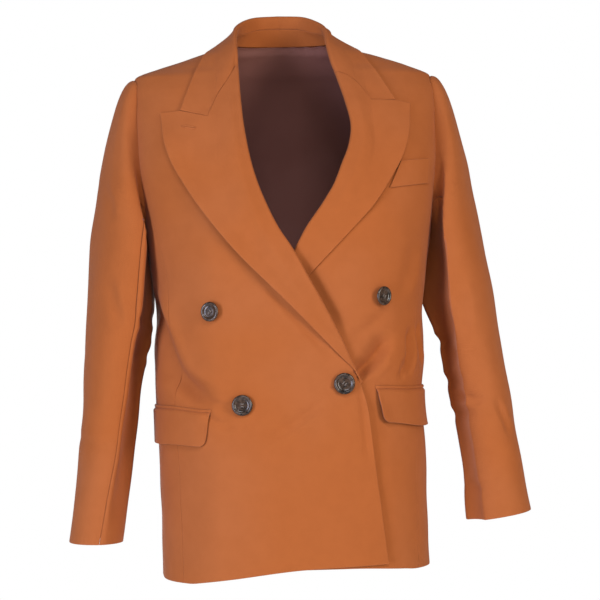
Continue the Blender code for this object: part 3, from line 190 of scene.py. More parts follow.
CREASES_FROM = (0.03, 0.25)

# Lapels
LAPEL_EDGES = {             # from above the break to the tip
    "right": seen(733, -4303, 667, -4211, 541, -4081, 432, -3967, 300, -3825, -360, -3130, -730,
                 -2730, -1050, -2310, -1330, -1890, -1510, -1530, -1600, -1200, -1640, -900),
    "left": seen(-500, -3850, 180, -2990, 680, -2480, 1000, -2140, 1210, -1850, 1390, -1550, 1500,
                -1250, 1580, -830),
}
GORGES = {                  # from beside the roll line
    "right": seen(-770, -490, -900, -670, -980, -830, -1050, -970),
    "left": seen(790, -462, 925, -585, 995, -685, 1050, -785),
}
NOTCHES = {"right": seen(-1390, -880)[0], "left": seen(1380, -785)[0]}
GORGE_SHARE, NOTCH_SHARE = 5 / 9, 7 / 9        # of a lapel's top
FACING_WIDTH, FACING_LINES = 0.015, (0.45, 0.7)
BREAK_WIDTH = 0.004
GORGE_GAP, GORGE_FADE = 0.0004, 0.8
LAPEL_BOW = 0.0026
BOW_RISE, BOW_FALL = (0.0, 0.018), (0.050, 0.010)
BOW_WIDTHS = (0.012, 0.050)
BOW_TOP_SHARE, BOW_TOP = 0.85, 0.25
LEFT_BOW_HEIGHTS = (-0.250, -0.200)
EDGE_RISES = {"right": (0.0062, 0.018), "left": (0.0026, 0.014)}   # (height, width)
EDGE_RISE_FROM = 0.9
END_WIDTH, END_TAPER = 0.40, 0.03
END_SINK, END_SINK_BY = 0.0027, 0.13

# Collar, from the front end (share 0) to the centre back (share 1)
COLLARS = {               # share, x, y and z of the roll, x, y and z of the edge
    "right": np.array((
        (0, 615, -312, -300, 1390, -600, -880), (15, 612, -230, -130, 1265, -430, -600),
        (30, 612, -50, 60, 1125, -200, -310), (50, 600, 200, 250, 920, 200, -20),
        (67, 500, 460, 370, 770, 620, -30), (85, 280, 670, 450, 430, 860, -80),
        (100, 0, 745, 468, 0, 920, -100),
    )) / (100, *[TENTHS] * 6),
    "left": np.array((
        (0, 625, -420, -410, 1380, -540, -785), (15, 575, -290, -220, 1258, -420, -580),
        (30, 545, -80, 30, 1085, -180, -290), (50, 560, 200, 245, 900, 200, -10),
        (67, 465, 460, 370, 750, 620, -30), (85, 270, 670, 452, 430, 860, -80),
        (100, 0, 745, 468, 0, 920, -100),
    )) / (100, *[TENTHS] * 6),
}
ROLL_COLUMN, EDGE_COLUMN = 0, 3              # after the share
COLLAR_GORGE_SHARE, COLLAR_END_FADE = 5 / 7, 0.16
COLLAR_SMOOTHING = (-0.04, -0.02, 0.0, 0.02, 0.04)
INSIDE_LINES = (0.3, 0.65)
NECK_CENTRE = np.array((0.0, 0.018, 0.100))    # the fold lifts the collar towards it
STAND_DROP, FRONT_DROP, DROP_SHARES = 0.014, 0.001, (0.30, 0.75)
COLLAR_LEAVE, COLLAR_ARRIVE = 0.40, 0.8
COLLAR_FOLD_KEEP, COLLAR_CLEAR_FROM = 0.05, 0.12
NECK_FRONT_SHARE = 0.50
STAND_REACH, STAND_GAP = 0.62, 0.0012

# Pockets
FLAPS = (    # (side, front end's x, top's z, length, depth, rise of top and of bottom towards
             # the side, lean, rise of the front edge off the cloth)
    ("right", -0.1118, -0.4721, 0.135, 0.0430, 0.0046, 0.0018, 0.18, -0.0020),
    ("left", 0.0978, -0.4478, 0.135, 0.0432, -0.0030, -0.0080, 0.14, 0.0030),
)
TOP_RISE_BY, BOTTOM_RISE_BY = 0.065, 0.085
FLAP_CORNER, FLAP_UNDER_JET = 0.0085, 0.0006
FLAP_STAND, FLAP_STAND_BY = (0.0002, 0.0030), (0.0, 0.09)
FLAP_BULGE, FLAP_EDGE_WIDTH, FLAP_EDGE_BY = 0.0014, 0.012, 0.6
JET_DEPTH, JET_OVERHANG, JET_FADE, JET_WALL = 0.0046, 0.0015, 0.004, 0.0007
JET_ROLL, JET_ROLL_POWER = 0.0016, 0.7
WELT_TOP = seen(1385, -1590, 1780, -1550)
WELT_BOTTOM = seen(1220, -1935, 1750, -1870)

# Buttons
BUTTONS = (               # (name, front beneath, x, z, size, turn of its holes, lean sideways)
    ("button_upper_right", "right", -0.109, -0.345, 0.92, -50.0, 9.0),
    ("button_upper_left", "left", 0.1075, -0.330, 0.90, 60.0, 13.0),
    ("button_lower_right", "right", -0.073, -0.463, 0.98, 0.0, -3.0),
    ("button_fastened", "right", 0.055, -0.439, 1.0, 52.0, -6.0),
)
BUTTON_RADIUS, BUTTON_SEAT = 0.0135, 0.0006
# Its radius and height, from the middle of the face round the rim to the back
BUTTON_PROFILE = seen(0, 26, 40, 26, 80, 28, 92, 34, 102, 43, 114, 46, 126, 41, 133, 32,
                      135, 22, 130, 12, 105, 4, 50, 0, 0, 0)
BUTTON_SIDES, BUTTON_RINGS, FACE_SHARE = 96, 84, 0.45
HOLE_PLACE, HOLE_DEPTH, HOLE_WALL = 0.0021, 0.0013, (0.00125, 0.00075)
STRAND_RADIUS, STRANDS, STRAND_GAP, STRAND_POINTS = 0.00026, 3, 0.00042, 15
STRAND_LEVEL, STRAND_ARCH, STRAND_DIVE, DIVE_FROM = 0.0026, 0.0004, 0.0010, 0.8
STRAND_WAIST, STRAND_SIDES = 0.72, 8
THREAD_ASIDE = np.array((0.31, 0.52, 0.79))    # a way that no thread runs in
LAPEL_HOLE = seen(-1372, -1082, -1212, -1118)
FASTENED_HOLE = seen(388, -4432, 460, -4430)
HOLE_STITCHES, HOLE_WIDTH, HOLE_SQUARENESS, HOLE_SUNK = 160, 0.0022, 0.35, 0.35
STITCH_RIDGE, STITCH_TURN = 0.16, 2.4

# Soft folds of (x, z) lines in tenths of a millimetre. Each has a ridge along its line and a
# trough on the right hand of the way the line runs: (line, first and last half width, depth, ridge)
FOLDS = {
    "right": (
        ((-1735, -3050, -1702, -3273, -1605, -3626, -1519, -3918, -1387, -4226, -1251, -4332, -1099,
          -4408, -900, -4500), 92, 180, 155, 24),
        ((-1200, -4480, -1001, -4570, -780, -4640), 60, 60, 20, 6),
        ((-1165, -4608, -1072, -4759, -938, -4823, -760, -4776), 60, 60, 20, 6),
        ((-1740, -3050, -1760, -3600, -1740, -4200, -1700, -4800), 340, 340, 0, 50),
        ((400, -4620, 48, -4873, -208, -5041, -540, -5160), 80, 100, 26, 8),
        ((730, -4300, 800, -4545, 835, -4798, 860, -5113, 886, -5492), 45, 60, 18, 10),
        ((-500, -2990, -360, -3130, 300, -3825, 500, -4040), 60, 80, 34, 0),
    ),
    "left": (
        ((150, -2680, 245, -2933, 333, -3103, 432, -3296, 515, -3453, 583, -3608, 660, -3783), 185,
          150, 74, 0),
        ((1300, -3790, 1210, -3940, 1130, -4055, 1025, -4170, 915, -4270, 790, -4350, 660, -4420),
          160, 130, 90, 10),
        ((1250, -3840, 1170, -3980, 1085, -4095, 990, -4195, 880, -4285, 760, -4365, 640, -4430),
          70, 74, 70, 12),
        ((1178, -4088, 1063, -4231, 926, -4337), 70, 60, 14, 6),
        ((1530, -3660, 1530, -3902, 1528, -4055, 1494, -4207, 1405, -4380), 55, 68, 85, 16),
        ((1430, -4090, 1405, -4203, 1340, -4400), 45, 50, 30, 6),
        ((1622, -3600, 1627, -3882, 1666, -4040, 1684, -4270), 34, 34, 42, 12),
        ((1280, -3560, 860, -3830, 640, -3930), 120, 90, 26, 0),
        ((1640, -2500, 1560, -3000, 1380, -3450), 100, 110, 18, 8),
    ),
    "back": (
        ((1600, -3300, 1400, -3900, 1000, -4250, 600, -4400), 100, 100, 36, 14),
        ((-1650, -3450, -1350, -3850, -950, -4100), 90, 90, 32, 12),
        ((-1200, -3000, -600, -3450, 200, -3620), 130, 130, 22, 10),
        ((700, -1200, 950, -1900, 1050, -2600), 120, 120, 22, 8),
    ),
}
SLEEVE_FOLDS = {
    "front": (
        ((-2345, -1650, -2330, -1788, -2259, -1991, -2241, -2300), 70, 70, 18, 8),
        ((-2300, -2950, -2219, -3300, -2140, -3650), 90, 90, 26, 10),
        ((-2750, -4900, -2600, -5020, -2380, -5000), 90, 90, 16, 8),
        ((2600, -4600, 2720, -4867, 2840, -5180), 55, 55, 34, 12),
        ((2480, -4680, 2299, -4740, 2100, -4600), 70, 70, 32, 10),
        ((2252, -5664, 2398, -5756, 2599, -5681), 90, 90, 18, 8),
        ((2180, -3000, 2280, -3450, 2300, -3900), 100, 100, 18, 8),
    ),
    "back": (
        ((-2620, -3800, -2350, -4000, -2050, -3980), 90, 90, 34, 12),
        ((-2660, -4400, -2400, -4520, -2140, -4440), 80, 80, 26, 10),
        ((2050, -3920, 2350, -4040, 2680, -3880), 90, 90, 34, 12),
        ((2150, -4520, 2440, -4620, 2760, -4460), 80, 80, 26, 10),
    ),
    "inner": (            # round the inner side, whichever way the cloth faces
        ((-1650, -3560, -1800, -3620, -2050, -3580), 100, 100, 26, 8),
        ((-1750, -4000, -1900, -4080, -2100, -4020), 90, 90, 20, 6),
        ((1650, -3720, 1820, -3840, 2100, -3800), 100, 100, 30, 10),
        ((1760, -4240, 1940, -4360, 2180, -4300), 100, 100, 26, 8),
        ((1900, -4700, 2060, -4800, 2300, -4720), 90, 90, 22, 8),
    ),
}
FOLD_POINTS, FOLD_FADE = 20, 0.28
RIDGE_PLACE, TROUGH_PLACE = (-0.35, 0.5), (0.9, 0.8)          # centres and widths, in half widths
FACING_FADE = (-0.40, 0.15)         # how squarely cloth must face before a fold shows
RIPPLES = (               # (waves per metre along x, y and z, phase, height)
    ((9.0, 4.0, 6.0), 0.4, 0.00040),
    ((-6.0, 7.0, 11.0), 2.1, 0.00032),
    ((15.0, -9.0, -7.0), 4.0, 0.00018),
    ((5.0, 12.0, -17.0), 1.2, 0.00014),
)

SHEETS = {                # flat width, length and area, and how the cloth is held
    "front_right": (0.30, 0.74, 0.146, "hung"),
    "front_left": (0.30, 0.74, 0.142, "hung"),
    "side": (0.18, 0.48, 0.074, "hung"),
    "back": (0.23, 0.72, 0.122, "hung"),
    "lining_back": (0.42, 0.70, 0.214, "hung"),
    "lapel_right": (0.15, 0.48, 0.036, "folded"),
    "lapel_left": (0.15, 0.48, 0.031, "folded"),
    "collar_fall": (0.10, 0.44, 0.031, "folded"),
    "collar_stand": (0.04, 0.30, 0.0044, "folded"),
    "sleeve_upper": (0.25, 0.66, 0.115, "hung"),
    "sleeve_under": (0.15, 0.52, 0.049, "hung"),
    "pocket_flap_right": (0.145, 0.050, 0.0062, "laid"),
    "pocket_flap_left": (0.145, 0.050, 0.0066, "laid"),
    "pocket_jet": (0.145, 0.010, 0.0010, "laid"),
    "breast_welt": (0.065, 0.045, 0.0022, "laid"),
}


def stack(*parts):
    return np.stack(parts, -1)


def columns(points):
    return np.moveaxis(points, -1, 0)


def mix(a, b, share):
    return a + (b - a) * share


def unit(vector):
    return vector / np.maximum(np.linalg.norm(vector, axis=-1, keepdims=True), 1e-12)


def left_of(run):
    """The way to the left of a way in (x, z)."""
    return stack(-run[..., 1], run[..., 0])


def ramp(value, low, high):
    """Smooth step from 0 at low to 1 at high."""
    t = np.clip((value - low) / (high - low), 0.0, 1.0)
    return t * t * (3 - 2 * t)


def bump(value, width):
    return np.exp(-(value / width)**2)


def hermite(start, end, leave, arrive, t):
    """Cubic from start to end with the slopes it leaves and arrives with."""
    return ((2 * t**3 - 3 * t**2 + 1) * start + (t**3 - 2 * t**2 + t) * leave
            + (3 * t**2 - 2 * t**3) * end + (t**3 - t**2) * arrive)


def between(knots, values, tangent, at):
    """Cubic between knots with given tangents; values may be points."""
    row = np.clip(np.searchsorted(knots, at, side="right") - 1, 0, len(knots) - 2)
    width = knots[row + 1] - knots[row]
    t = (at - knots[row]) / width
    if values.ndim > 1:
        t, width = t[..., None], width[..., None]
    return hermite(values[row], values[row + 1], width * tangent[row], width * tangent[row + 1], t)


def curve(knots, values, at):
    """Monotone cubic through a table's rows, read at the given places."""
    at = np.clip(at, knots[0], knots[-1])
    step = np.diff(knots)
    slope = np.diff(values) / step
    left, right = slope[:-1], slope[1:]
    same = left * right > 0
    weights = 2 * step[1:] + step[:-1], step[1:] + 2 * step[:-1]
    shares = weights[0] / np.where(same, left, 1.0) + weights[1] / np.where(same, right, 1.0)
    inside = np.where(same, (weights[0] + weights[1]) / shares, 0.0)
    return between(knots, values, np.concatenate((slope[:1], inside, slope[-1:])), at)


def periodic(knots, values, at):
    """Smooth closed curve through a table whose last row repeats the first."""
    knots = np.concatenate((knots[-3:-1] - 1, knots, knots[1:3] + 1))
    values = np.concatenate((values[-3:-1], values, values[1:3]))
    return between(knots, values, np.gradient(values, knots), at)


def through(points):
    """A smooth line through points."""
    points = np.asarray(points, float)
    knots = np.insert(np.cumsum(np.linalg.norm(np.diff(points, axis=0), axis=1)), 0, 0.0)
    knots = knots / knots[-1]
    tangent = np.gradient(points, knots, axis=0)
    return lambda share: between(knots, points, tangent, np.clip(share, 0.0, 1.0))


def straight(start, end):
    return lambda share: mix(start, end, share[..., None])


def backwards(line):
    return lambda share: line(1 - share)


def ends(line):
    """The first and the last point of a line."""
    return line(np.array((0.0, 1.0)))


def chain(*parts):
    """Joins lines end to end: (share of the whole at which the part ends, line)."""
    def place(share):
        share = np.clip(share, 0.0, 1.0)
        result, start = 0.0, 0.0
        for end, line in parts:
            local = np.clip((share - start) / (end - start), 0.0, 1.0)
            result = np.where((share >= start)[..., None], line(local), result)
            start = end
        return result
    return place


def patch(u, v, bottom, top, inner, outer):
    """A four sided patch between its edges."""
    u1, v1 = u[..., None], v[..., None]
    (low_inner, low_outer), (high_inner, high_outer) = ends(bottom), ends(top)
    corners = ((1 - u1) * (1 - v1) * low_inner + u1 * (1 - v1) * low_outer
               + (1 - u1) * v1 * high_inner + u1 * v1 * high_outer)
    return (1 - v1) * bottom(u) + v1 * top(u) + (1 - u1) * inner(v) + u1 * outer(v) - corners


# The body form

def section(height):
    """The body form's half width, middle, depths, squareness and shift at a height."""
    return [curve(BODY_SECTIONS[:, 0], values, height) for values in BODY_SECTIONS.T[1:]]


def quarter(height, front):
    """Places along a quarter of a section, from the side (first) to the middle (last)."""
    half_width, _, front_depth, back_depth, squareness, _ = section(height)
    depth = np.where(front, front_depth, back_depth)
    angle = np.linspace(0.0, math.pi / 2, RING_STEPS)
    power = (2 / squareness)[..., None]
    x = half_width[..., None] * np.maximum(np.cos(angle), 0.0)**power
    y = depth[..., None] * np.maximum(np.sin(angle), 0.0)**power
    length = np.zeros_like(x)
    length[..., 1:] = np.cumsum(np.hypot(np.diff(x), np.diff(y)), axis=-1)
    return x, y, length


def quarter_length(height, front):
    return quarter(height, front)[2][..., -1]


def read_row(table, target, value):
    """Reads value where the rising table reaches target, row by row."""
    index = np.clip((table < target[..., None]).sum(axis=-1), 1, table.shape[-1] - 1)[..., None]
    (low, high), (first, last) = ([np.take_along_axis(rows, at, -1)[..., 0]
                                   for at in (index - 1, index)] for rows in (table, value))
    return mix(first, last, np.clip((target - low) / np.maximum(high - low, 1e-12), 0.0, 1.0))


def form(turn, height):
    """Points of the smooth body form."""
    turn, height = np.broadcast_arrays(turn % 4.0, height)
    front = turn < 2
    x, y, length = quarter(height, front)
    target = np.where(turn % 2 <= 1, turn % 2, 2 - turn % 2) * length[..., -1]
    across, deep = read_row(length, target, x), read_row(length, target, y)
    half_width, middle, front_depth, back_depth, squareness, shift = section(height)
    depth = np.where(front, front_depth, back_depth)
    size = ((across / half_width)**squareness + (deep / depth)**squareness)**(1 / squareness)
    across, deep = across / size, deep / size
    right = (turn > 1) & (turn < 3)
    return stack(shift + np.where(right, -across, across),
                 middle + np.where(front, -deep, deep), height)


def body_field(point):
    """Negative inside the body form, positive outside it."""
    x, y, height = columns(point)
    half_width, middle, front_depth, back_depth, squareness, shift = section(height)
    depth = np.where(y < middle, front_depth, back_depth)
    return ((np.abs(x - shift) / half_width)**squareness
            + (np.abs(y - middle) / depth)**squareness)**(1 / squareness) - 1


def body_gap(point):
    """Distance from the body form, and the way out."""
    slope = stack(*((body_field(point + axis) - body_field(point - axis)) / (2 * SLOPE_STEP)
                    for axis in np.eye(3) * SLOPE_STEP))
    size = np.linalg.norm(slope, axis=-1)
    return body_field(point) / size, slope / size[..., None]


def clear_of_body(point, distance):
    """Pushes points out of the body form until they are clear of it."""
    for _ in range(CLEARING_ROUNDS):
        gap, normal = body_gap(point)
        point = point + normal * np.clip(distance - gap, 0.0, CLEARING_LIMIT)[..., None]
    return point


def turn_at_x(x, height, front=True):
    """The turn at which the form's front (or back) is seen at x."""
    x, height = np.broadcast_arrays(x, height)
    across, _, length = quarter(height, front)
    x = x - section(height)[5]
    part = read_row(-across, -np.abs(x), length) / length[..., -1]
    if front:
        return np.where(x < 0, 2 - part, part)
    return np.where(x < 0, 2 + part, 4 - part)


def turn_at_y(y, height, side):
    """The turn at which one side of the form is seen at y."""
    middle = section(height)[1]
    front = y < middle
    _, deep, length = quarter(height, front)
    part = read_row(deep, np.abs(y - middle), length) / length[..., -1]
    turn = np.where(front, part, -part)
    return 2 - turn if side == "right" else turn % 4.0


# Folds and ripples

def creases(point, facing, folds):
    """Height of the folds at points, where the cloth faces the way they are seen from."""
    x, _, z = columns(point)
    total = np.zeros(x.shape)
    for corners, *sizes in folds:
        first, last, depth, ridge = np.array(sizes) / TENTHS
        line = through(seen(*corners))(np.linspace(0, 1, FOLD_POINTS))
        nearest, off, along = np.full(x.shape, np.inf), np.zeros(x.shape), np.zeros(x.shape)
        for step, (start, run) in enumerate(zip(line, np.diff(line, axis=0))):
            dx, dz = x - start[0], z - start[1]
            share = np.clip((dx * run[0] + dz * run[1]) / (run @ run), 0, 1)
            dx, dz = dx - share * run[0], dz - share * run[1]
            distance = np.hypot(dx, dz)
            closer = distance < nearest
            nearest = np.where(closer, distance, nearest)
            off = np.where(closer, np.sign(dx * run[1] - dz * run[0]) * distance, off)
            along = np.where(closer, (step + share) / (FOLD_POINTS - 1), along)
        fade = ramp(along, 0, FOLD_FADE) * ramp(along, 1, 1 - FOLD_FADE)
        off = off / mix(first, last, along)
        total += fade * (ridge * bump(off - RIDGE_PLACE[0], RIDGE_PLACE[1])
                         - depth * bump(off - TROUGH_PLACE[0], TROUGH_PLACE[1]))
    return total * ramp(facing, *FACING_FADE)


def ripple(point):
    """Slight unevenness of pressed wool cloth."""
    return sum(height * np.sin(2 * math.pi * (point @ np.array(waves)) + phase)
               for waves, phase, height in RIPPLES)


def laid(turn, height, out, folds):
    """Points that lie over the body form, moved out along its normals."""
    point = form(turn, height)
    normal = body_gap(point)[1]
    relief = (creases(point, -normal[..., 1], folds) + ripple(point)
              + creases(point, normal[..., 1], FOLDS["back"]))
    return point + normal * (relief + out)[..., None]


def lapping(point):
    """How far the lapping front stands off the form where another layer lies beneath it."""
    total = 0.0
    for height, ranges in LAPS:
        for axis, low, high in ranges:
            height = height * ramp(point[..., axis], low, high)
        total = total + height
    return total


def laid_on_front(side, turn, height, out):
    lift = lapping(form(turn, height)) if side == "right" else 0.0
    return laid(turn, height, out + lift, FOLDS[side])


# Lines of the cut pieces, in (turn, height)

def front_line(points):
    """A line of the front, given by points (x, z)."""
    line = through(points)

    def place(share):
        x, z = columns(line(share))
        return stack(turn_at_x(x, z), z)
    return place


def armhole(share, side):
    """Turn and height of the armhole, from the shoulder point down the front, round and up."""
    y, z = (periodic(ARMHOLE[:, 0], values, share) for values in ARMHOLE.T[1:])
    return turn_at_y(y, z, side), z


def unwrapped(turn, side):
    """Turns round the left side without their step from 4 to 0."""
    return np.where((turn > 2) & (side == "left"), turn - 4, turn)


def shoulder_turn(height, side, part):
    """The turn of the front's or the back's edge at the shoulder seam, and the way past it."""
    way = -1 if (side == "right") == (part == "front") else 1
    ridge = 2.0 if side == "right" else (0.0 if part == "front" else 4.0)
    return ridge + way * SEAM / 2 / quarter_length(height, part == "front"), way


def beside_shoulder(turn, height, side, part):
    """A line, kept on its own side of the shoulder seam."""
    limit, way = shoulder_turn(height, side, part)
    return stack(np.minimum(turn, limit) if way < 0 else np.maximum(turn, limit), height)


def shoulder_line(side, part):
    """The shoulder seam, from the neck to the shoulder point."""
    heights = np.linspace(NECK_HEIGHT, TIP_HEIGHT, RING_STEPS)
    widths = section(heights)[0]

    def place(share):
        height = np.interp(mix(widths[0], widths[-1], share), widths, heights)
        return stack(shoulder_turn(height, side, part)[0], height)
    return place


def armhole_line(start, end, side, part):
    """A stretch of the armhole."""
    def place(share):
        turn, height = armhole(mix(start, end, share), side)
        turn = unwrapped(turn, side) + (4 if (side, part) == ("left", "back") else 0)
        return beside_shoulder(turn, height, side, part)
    return place


def moved(line, metres, part):
    """A line moved round the body by a distance."""
    def place(share):
        turn, height = columns(line(share))
        return stack(turn + metres / quarter_length(height, part == "front"), height)
    return place


def side_seam(side, part, metres):
    """The seam of a side body, from the hem to the armhole, moved round the body."""
    height, half = columns(SIDE_SEAMS[part])
    turn = turn_at_x(SIGN[side] * half, height, part == "front")
    join_turn, join_height = armhole(np.array([JOINS[part]]), side)
    height, turn = np.append(height, join_height), np.append(turn, join_turn)

    def place(share):
        at = mix(SIDE_HEMS[side][part], join_height[0], share)
        return stack(curve(height, turn, at), at)
    return moved(place, metres, part)


def beside(points, distance):
    """Points moved sideways, to the left of the way they run."""
    return points + distance * left_of(unit(np.gradient(points, axis=0)))


# Grids and shells

def lines(length, cell, stops=(), first=True, last=True):
    """Shares of a length at which a grid has its lines; they crowd where it starts and ends."""
    near = EDGE_LINES / length
    marks = [near[-1] if first else 0.0, *stops, 1 - near[-1] if last else 1.0]
    parts = [near[:-1]] if first else []
    for start, end in zip(marks, marks[1:]):
        count = max(int(round((end - start) * length / cell)), 1)
        parts.append(np.linspace(start, end, count + 1)[:-1])
    parts.append(1 - near[::-1] if last else np.ones(1))
    return np.concatenate(parts)


def rolled(inner, leaf):
    """Columns of a piece that rolls over: shares of its inner leaf, turn of its fold, shares of
    its outer leaf."""
    inside, outside = np.zeros(len(inner)), np.zeros(len(leaf) - 1)
    fold = np.linspace(0, 1, FOLD_LINES)
    return (np.concatenate((1 - inner, 0 * fold, outside)),
            np.concatenate((inside, fold, outside + 1)) * math.pi,
            np.concatenate((inside, 0 * fold, leaf[1:])))


def grid_normals(points):
    return unit(np.cross(np.gradient(points, axis=1), np.gradient(points, axis=0)))


def runs(points, axis):
    """Length of the way along a grid's lines, from their first point."""
    step = np.linalg.norm(np.diff(points, axis=axis), axis=-1)
    return np.insert(np.cumsum(step, axis=axis), 0, 0.0, axis=axis)


def linked(name, data):
    piece = bpy.data.objects.new(name, data)
    bpy.context.scene.collection.objects.link(piece)
    return piece


def own_piece(name, mesh, slots, node, finish=None):
    """Links a piece, lets it ride on the body, and hides the plain solid it stands for."""
    for slot in slots:
        mesh.materials.append(finishes[slot])
    mesh.shade_smooth()
    piece = linked(name, mesh)
    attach(piece, "root")
    if node:
        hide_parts(node)
    finish or slots[0]
    return piece


def mesh_of(name, places, quads, threads=None, finish_of=None):
    """A mesh from arrays of places and quads."""
    mesh = bpy.data.meshes.new(name)
    mesh.vertices.add(len(places))
    mesh.vertices.foreach_set("co", np.ascontiguousarray(places, np.float32).ravel())
    mesh.loops.add(quads.size)
    mesh.loops.foreach_set("vertex_index", np.ascontiguousarray(quads, np.int32).ravel())
    mesh.polygons.add(len(quads))
    mesh.polygons.foreach_set("loop_start", np.arange(0, quads.size, 4, dtype=np.int32))
    if finish_of is not None:
        mesh.polygons.foreach_set("material_index", finish_of.astype(np.int32))
    if threads is not None:
        layer = mesh.attributes.new("thread", "FLOAT_VECTOR", "POINT")
        layer.data.foreach_set("vector", np.ascontiguousarray(threads, np.float32).ravel())
    mesh.update(calc_edges=True)
    mesh.validate()
    return mesh


def quads_of(index):
    corners = index[:-1, :-1], index[:-1, 1:], index[1:, 1:], index[1:, :-1]
    return stack(*corners).reshape(-1, 4)


def ring_quads(rings, sides, first=0):
    """Quads between closed rings of points."""
    index = first + np.arange(rings * sides).reshape(rings, sides)
    return quads_of(np.concatenate((index, index[:, :1]), 1))


def shell(node, points, side=None, wall=SHELL, swell=(0.0, 1.0), dip=SEAM_DIP,
          facings=(0, 0, 0, 0), thread=None, slots=("rust_twill", "brown_lining"),
          seams=(0, 0, 0, 0)):
    """A closed cloth piece whose outer face is a grid of points, with rounded edges all round.

    side is 1 or -1, for a grid whose own normals look outwards or inwards; without it they are
    compared with the way out of the body. facings are the widths inside the first and last
    column and the first and last row that the outer cloth covers on the inner face too, and
    seams says which of those four sides are sewn to another piece."""
    normal = grid_normals(points)
    if side is None:
        side = np.sign((normal[PROBE] * body_gap(points[PROBE])[1]).sum())
    normal = normal * side
    across, along = runs(points, 1), runs(points, 0)
    reach = (across, across[:, -1:] - across, along, along[-1:] - along)
    free = [distance for distance, sewn in zip(reach, seams) if not sewn]
    edge = np.minimum.reduce(free or [np.ones(across.shape)])
    rounded = np.ones(edge.shape)
    for distance, sewn in zip(reach, seams):
        rounded *= np.sqrt(1 - np.clip(1 - distance / (SEWN_ROUND if sewn else wall / 2), 0, 1)**2)
        if sewn:
            points = points - normal * (dip * bump(distance, SEAM_DIP_WIDTH))[..., None]
    middle = points - normal * wall / 2
    half = normal * ((wall + swell[0] * bump(edge, swell[1])) / 2 * rounded)[..., None]
    rows, count = edge.shape
    outer = np.arange(rows * count).reshape(rows, count)
    inner = outer.copy()
    inner[1:-1, 1:-1] = outer.size + np.arange((rows - 2) * (count - 2)).reshape(rows - 2, -1)
    faces = [quads_of(outer), quads_of(inner)[:, ::-1]]
    if side < 0:
        faces = [face[:, ::-1] for face in faces]
    lined = np.all([distance >= width for distance, width in zip(reach, facings)], axis=0)
    lined = lined[:-1, :-1].ravel() * (len(slots) > 1)
    threads = stack(*(thread or (across, along)), edge)
    places, threads = (np.concatenate((first.reshape(-1, 3), second[1:-1, 1:-1].reshape(-1, 3)))
                       for first, second in ((middle + half, middle - half), (threads, threads)))
    mesh = mesh_of(node, places, np.concatenate(faces), threads,
                   np.concatenate((0 * lined, lined)))
    piece = own_piece(f"{node}_cloth", mesh, slots, node)
    width, length, area, held = SHEETS[node] if node in SHEETS else SHEETS[node.rsplit("_", 1)[0]]
    return piece


# Body pieces

def panel(node, u_lines, v_lines, edges, folds, lift=None, sink=0.0,
          facings=(0, 0, HEM_FACING, 0), seams=(1, 1, 0, 1), **more):
    """A piece of the body, between four edges."""
    turn, height = columns(patch(*np.meshgrid(u_lines, v_lines), *edges))
    out = -sink + (lift(form(turn, height)) if lift else 0.0)
    thread = (turn * quarter_length(height, turn % 4 < 2), height)
    return shell(node, laid(turn, height, out, folds), thread=thread, facings=facings,
                 seams=seams, **more)


def neck_points(side):
    """The front's neck edge as (x, z), from the roll line to the shoulder seam."""
    x, z = ROLL_LINES[side][-1]
    wide = section(np.array([NECK_HEIGHT]))[0][0]
    return ((x + SIGN[side] * ROLL, z),
            (SIGN[side] * NECK_MIDDLE_X, mix(z, NECK_HEIGHT, NECK_MIDDLE_SHARE)),
            (SIGN[side] * wide, NECK_HEIGHT))


def front_panel(side):
    inset = beside(ROLL_LINES[side], -SIGN[side] * ROLL)
    edge = front_line(np.vstack((FRONT_EDGES[side], inset[0])))
    neck = front_line(neck_points(side))

    def neck_edge(share):
        return beside_shoulder(*columns(neck(share)), side, "front")
    inner = chain((BREAK_SHARE, edge), (NECK_SHARE, front_line(inset)), (1.0, neck_edge))
    outer = chain((SIDE_SHARE, side_seam(side, "front", SIGN[side] * SEAM / 2)),
                  (1.0, armhole_line(JOINS["front"], 0.0, side, "front")))
    (start, _), (end, side_height) = ends(inner)[0], ends(outer)[0]

    def bottom(share):
        turn = mix(start, end, share)
        height = curve(*columns(HEMS[side]), form(turn, side_height)[..., 0])
        return stack(turn, mix(height, side_height, ramp(share, HEM_CORNER, 1.0)))
    rows = lines(BODY_LENGTH, FRONT_CELL, (BREAK_SHARE, SIDE_SHARE, NECK_SHARE))
    return panel(f"front_{side}", lines(FRONT_WIDTH, FRONT_CELL), rows,
                 (bottom, shoulder_line(side, "front"), inner, outer), FOLDS[side],
                 lapping if side == "right" else None,
                 facings=(FRONT_FACING, 0, HEM_FACING, 0), seams=(0, 1, 0, 1))


def side_panel(side):
    def edge(part, metres):
        line = side_seam(side, part, metres)

        def place(share):
            turn, height = columns(line(share))
            return stack(unwrapped(turn, side), height)
        return place
    start = edge("front", -SIGN[side] * SEAM / 2)
    end = edge("back", SIGN[side] * SEAM / 2)
    (low_start, high_start), (low_end, high_end) = ends(start), ends(end)

    def top(share):
        turn, height = armhole(mix(JOINS["front"], JOINS["back"], share), side)
        turn = np.where(share >= 1, high_end[0], unwrapped(turn, side))
        return stack(np.where(share <= 0, high_start[0], turn), height)
    return panel(f"side_{side}", lines(SIDE_WIDTH, CELL), lines(SIDE_LENGTH, SIDE_ROW),
                 (straight(low_start, low_end), top, start, end), FOLDS[side])


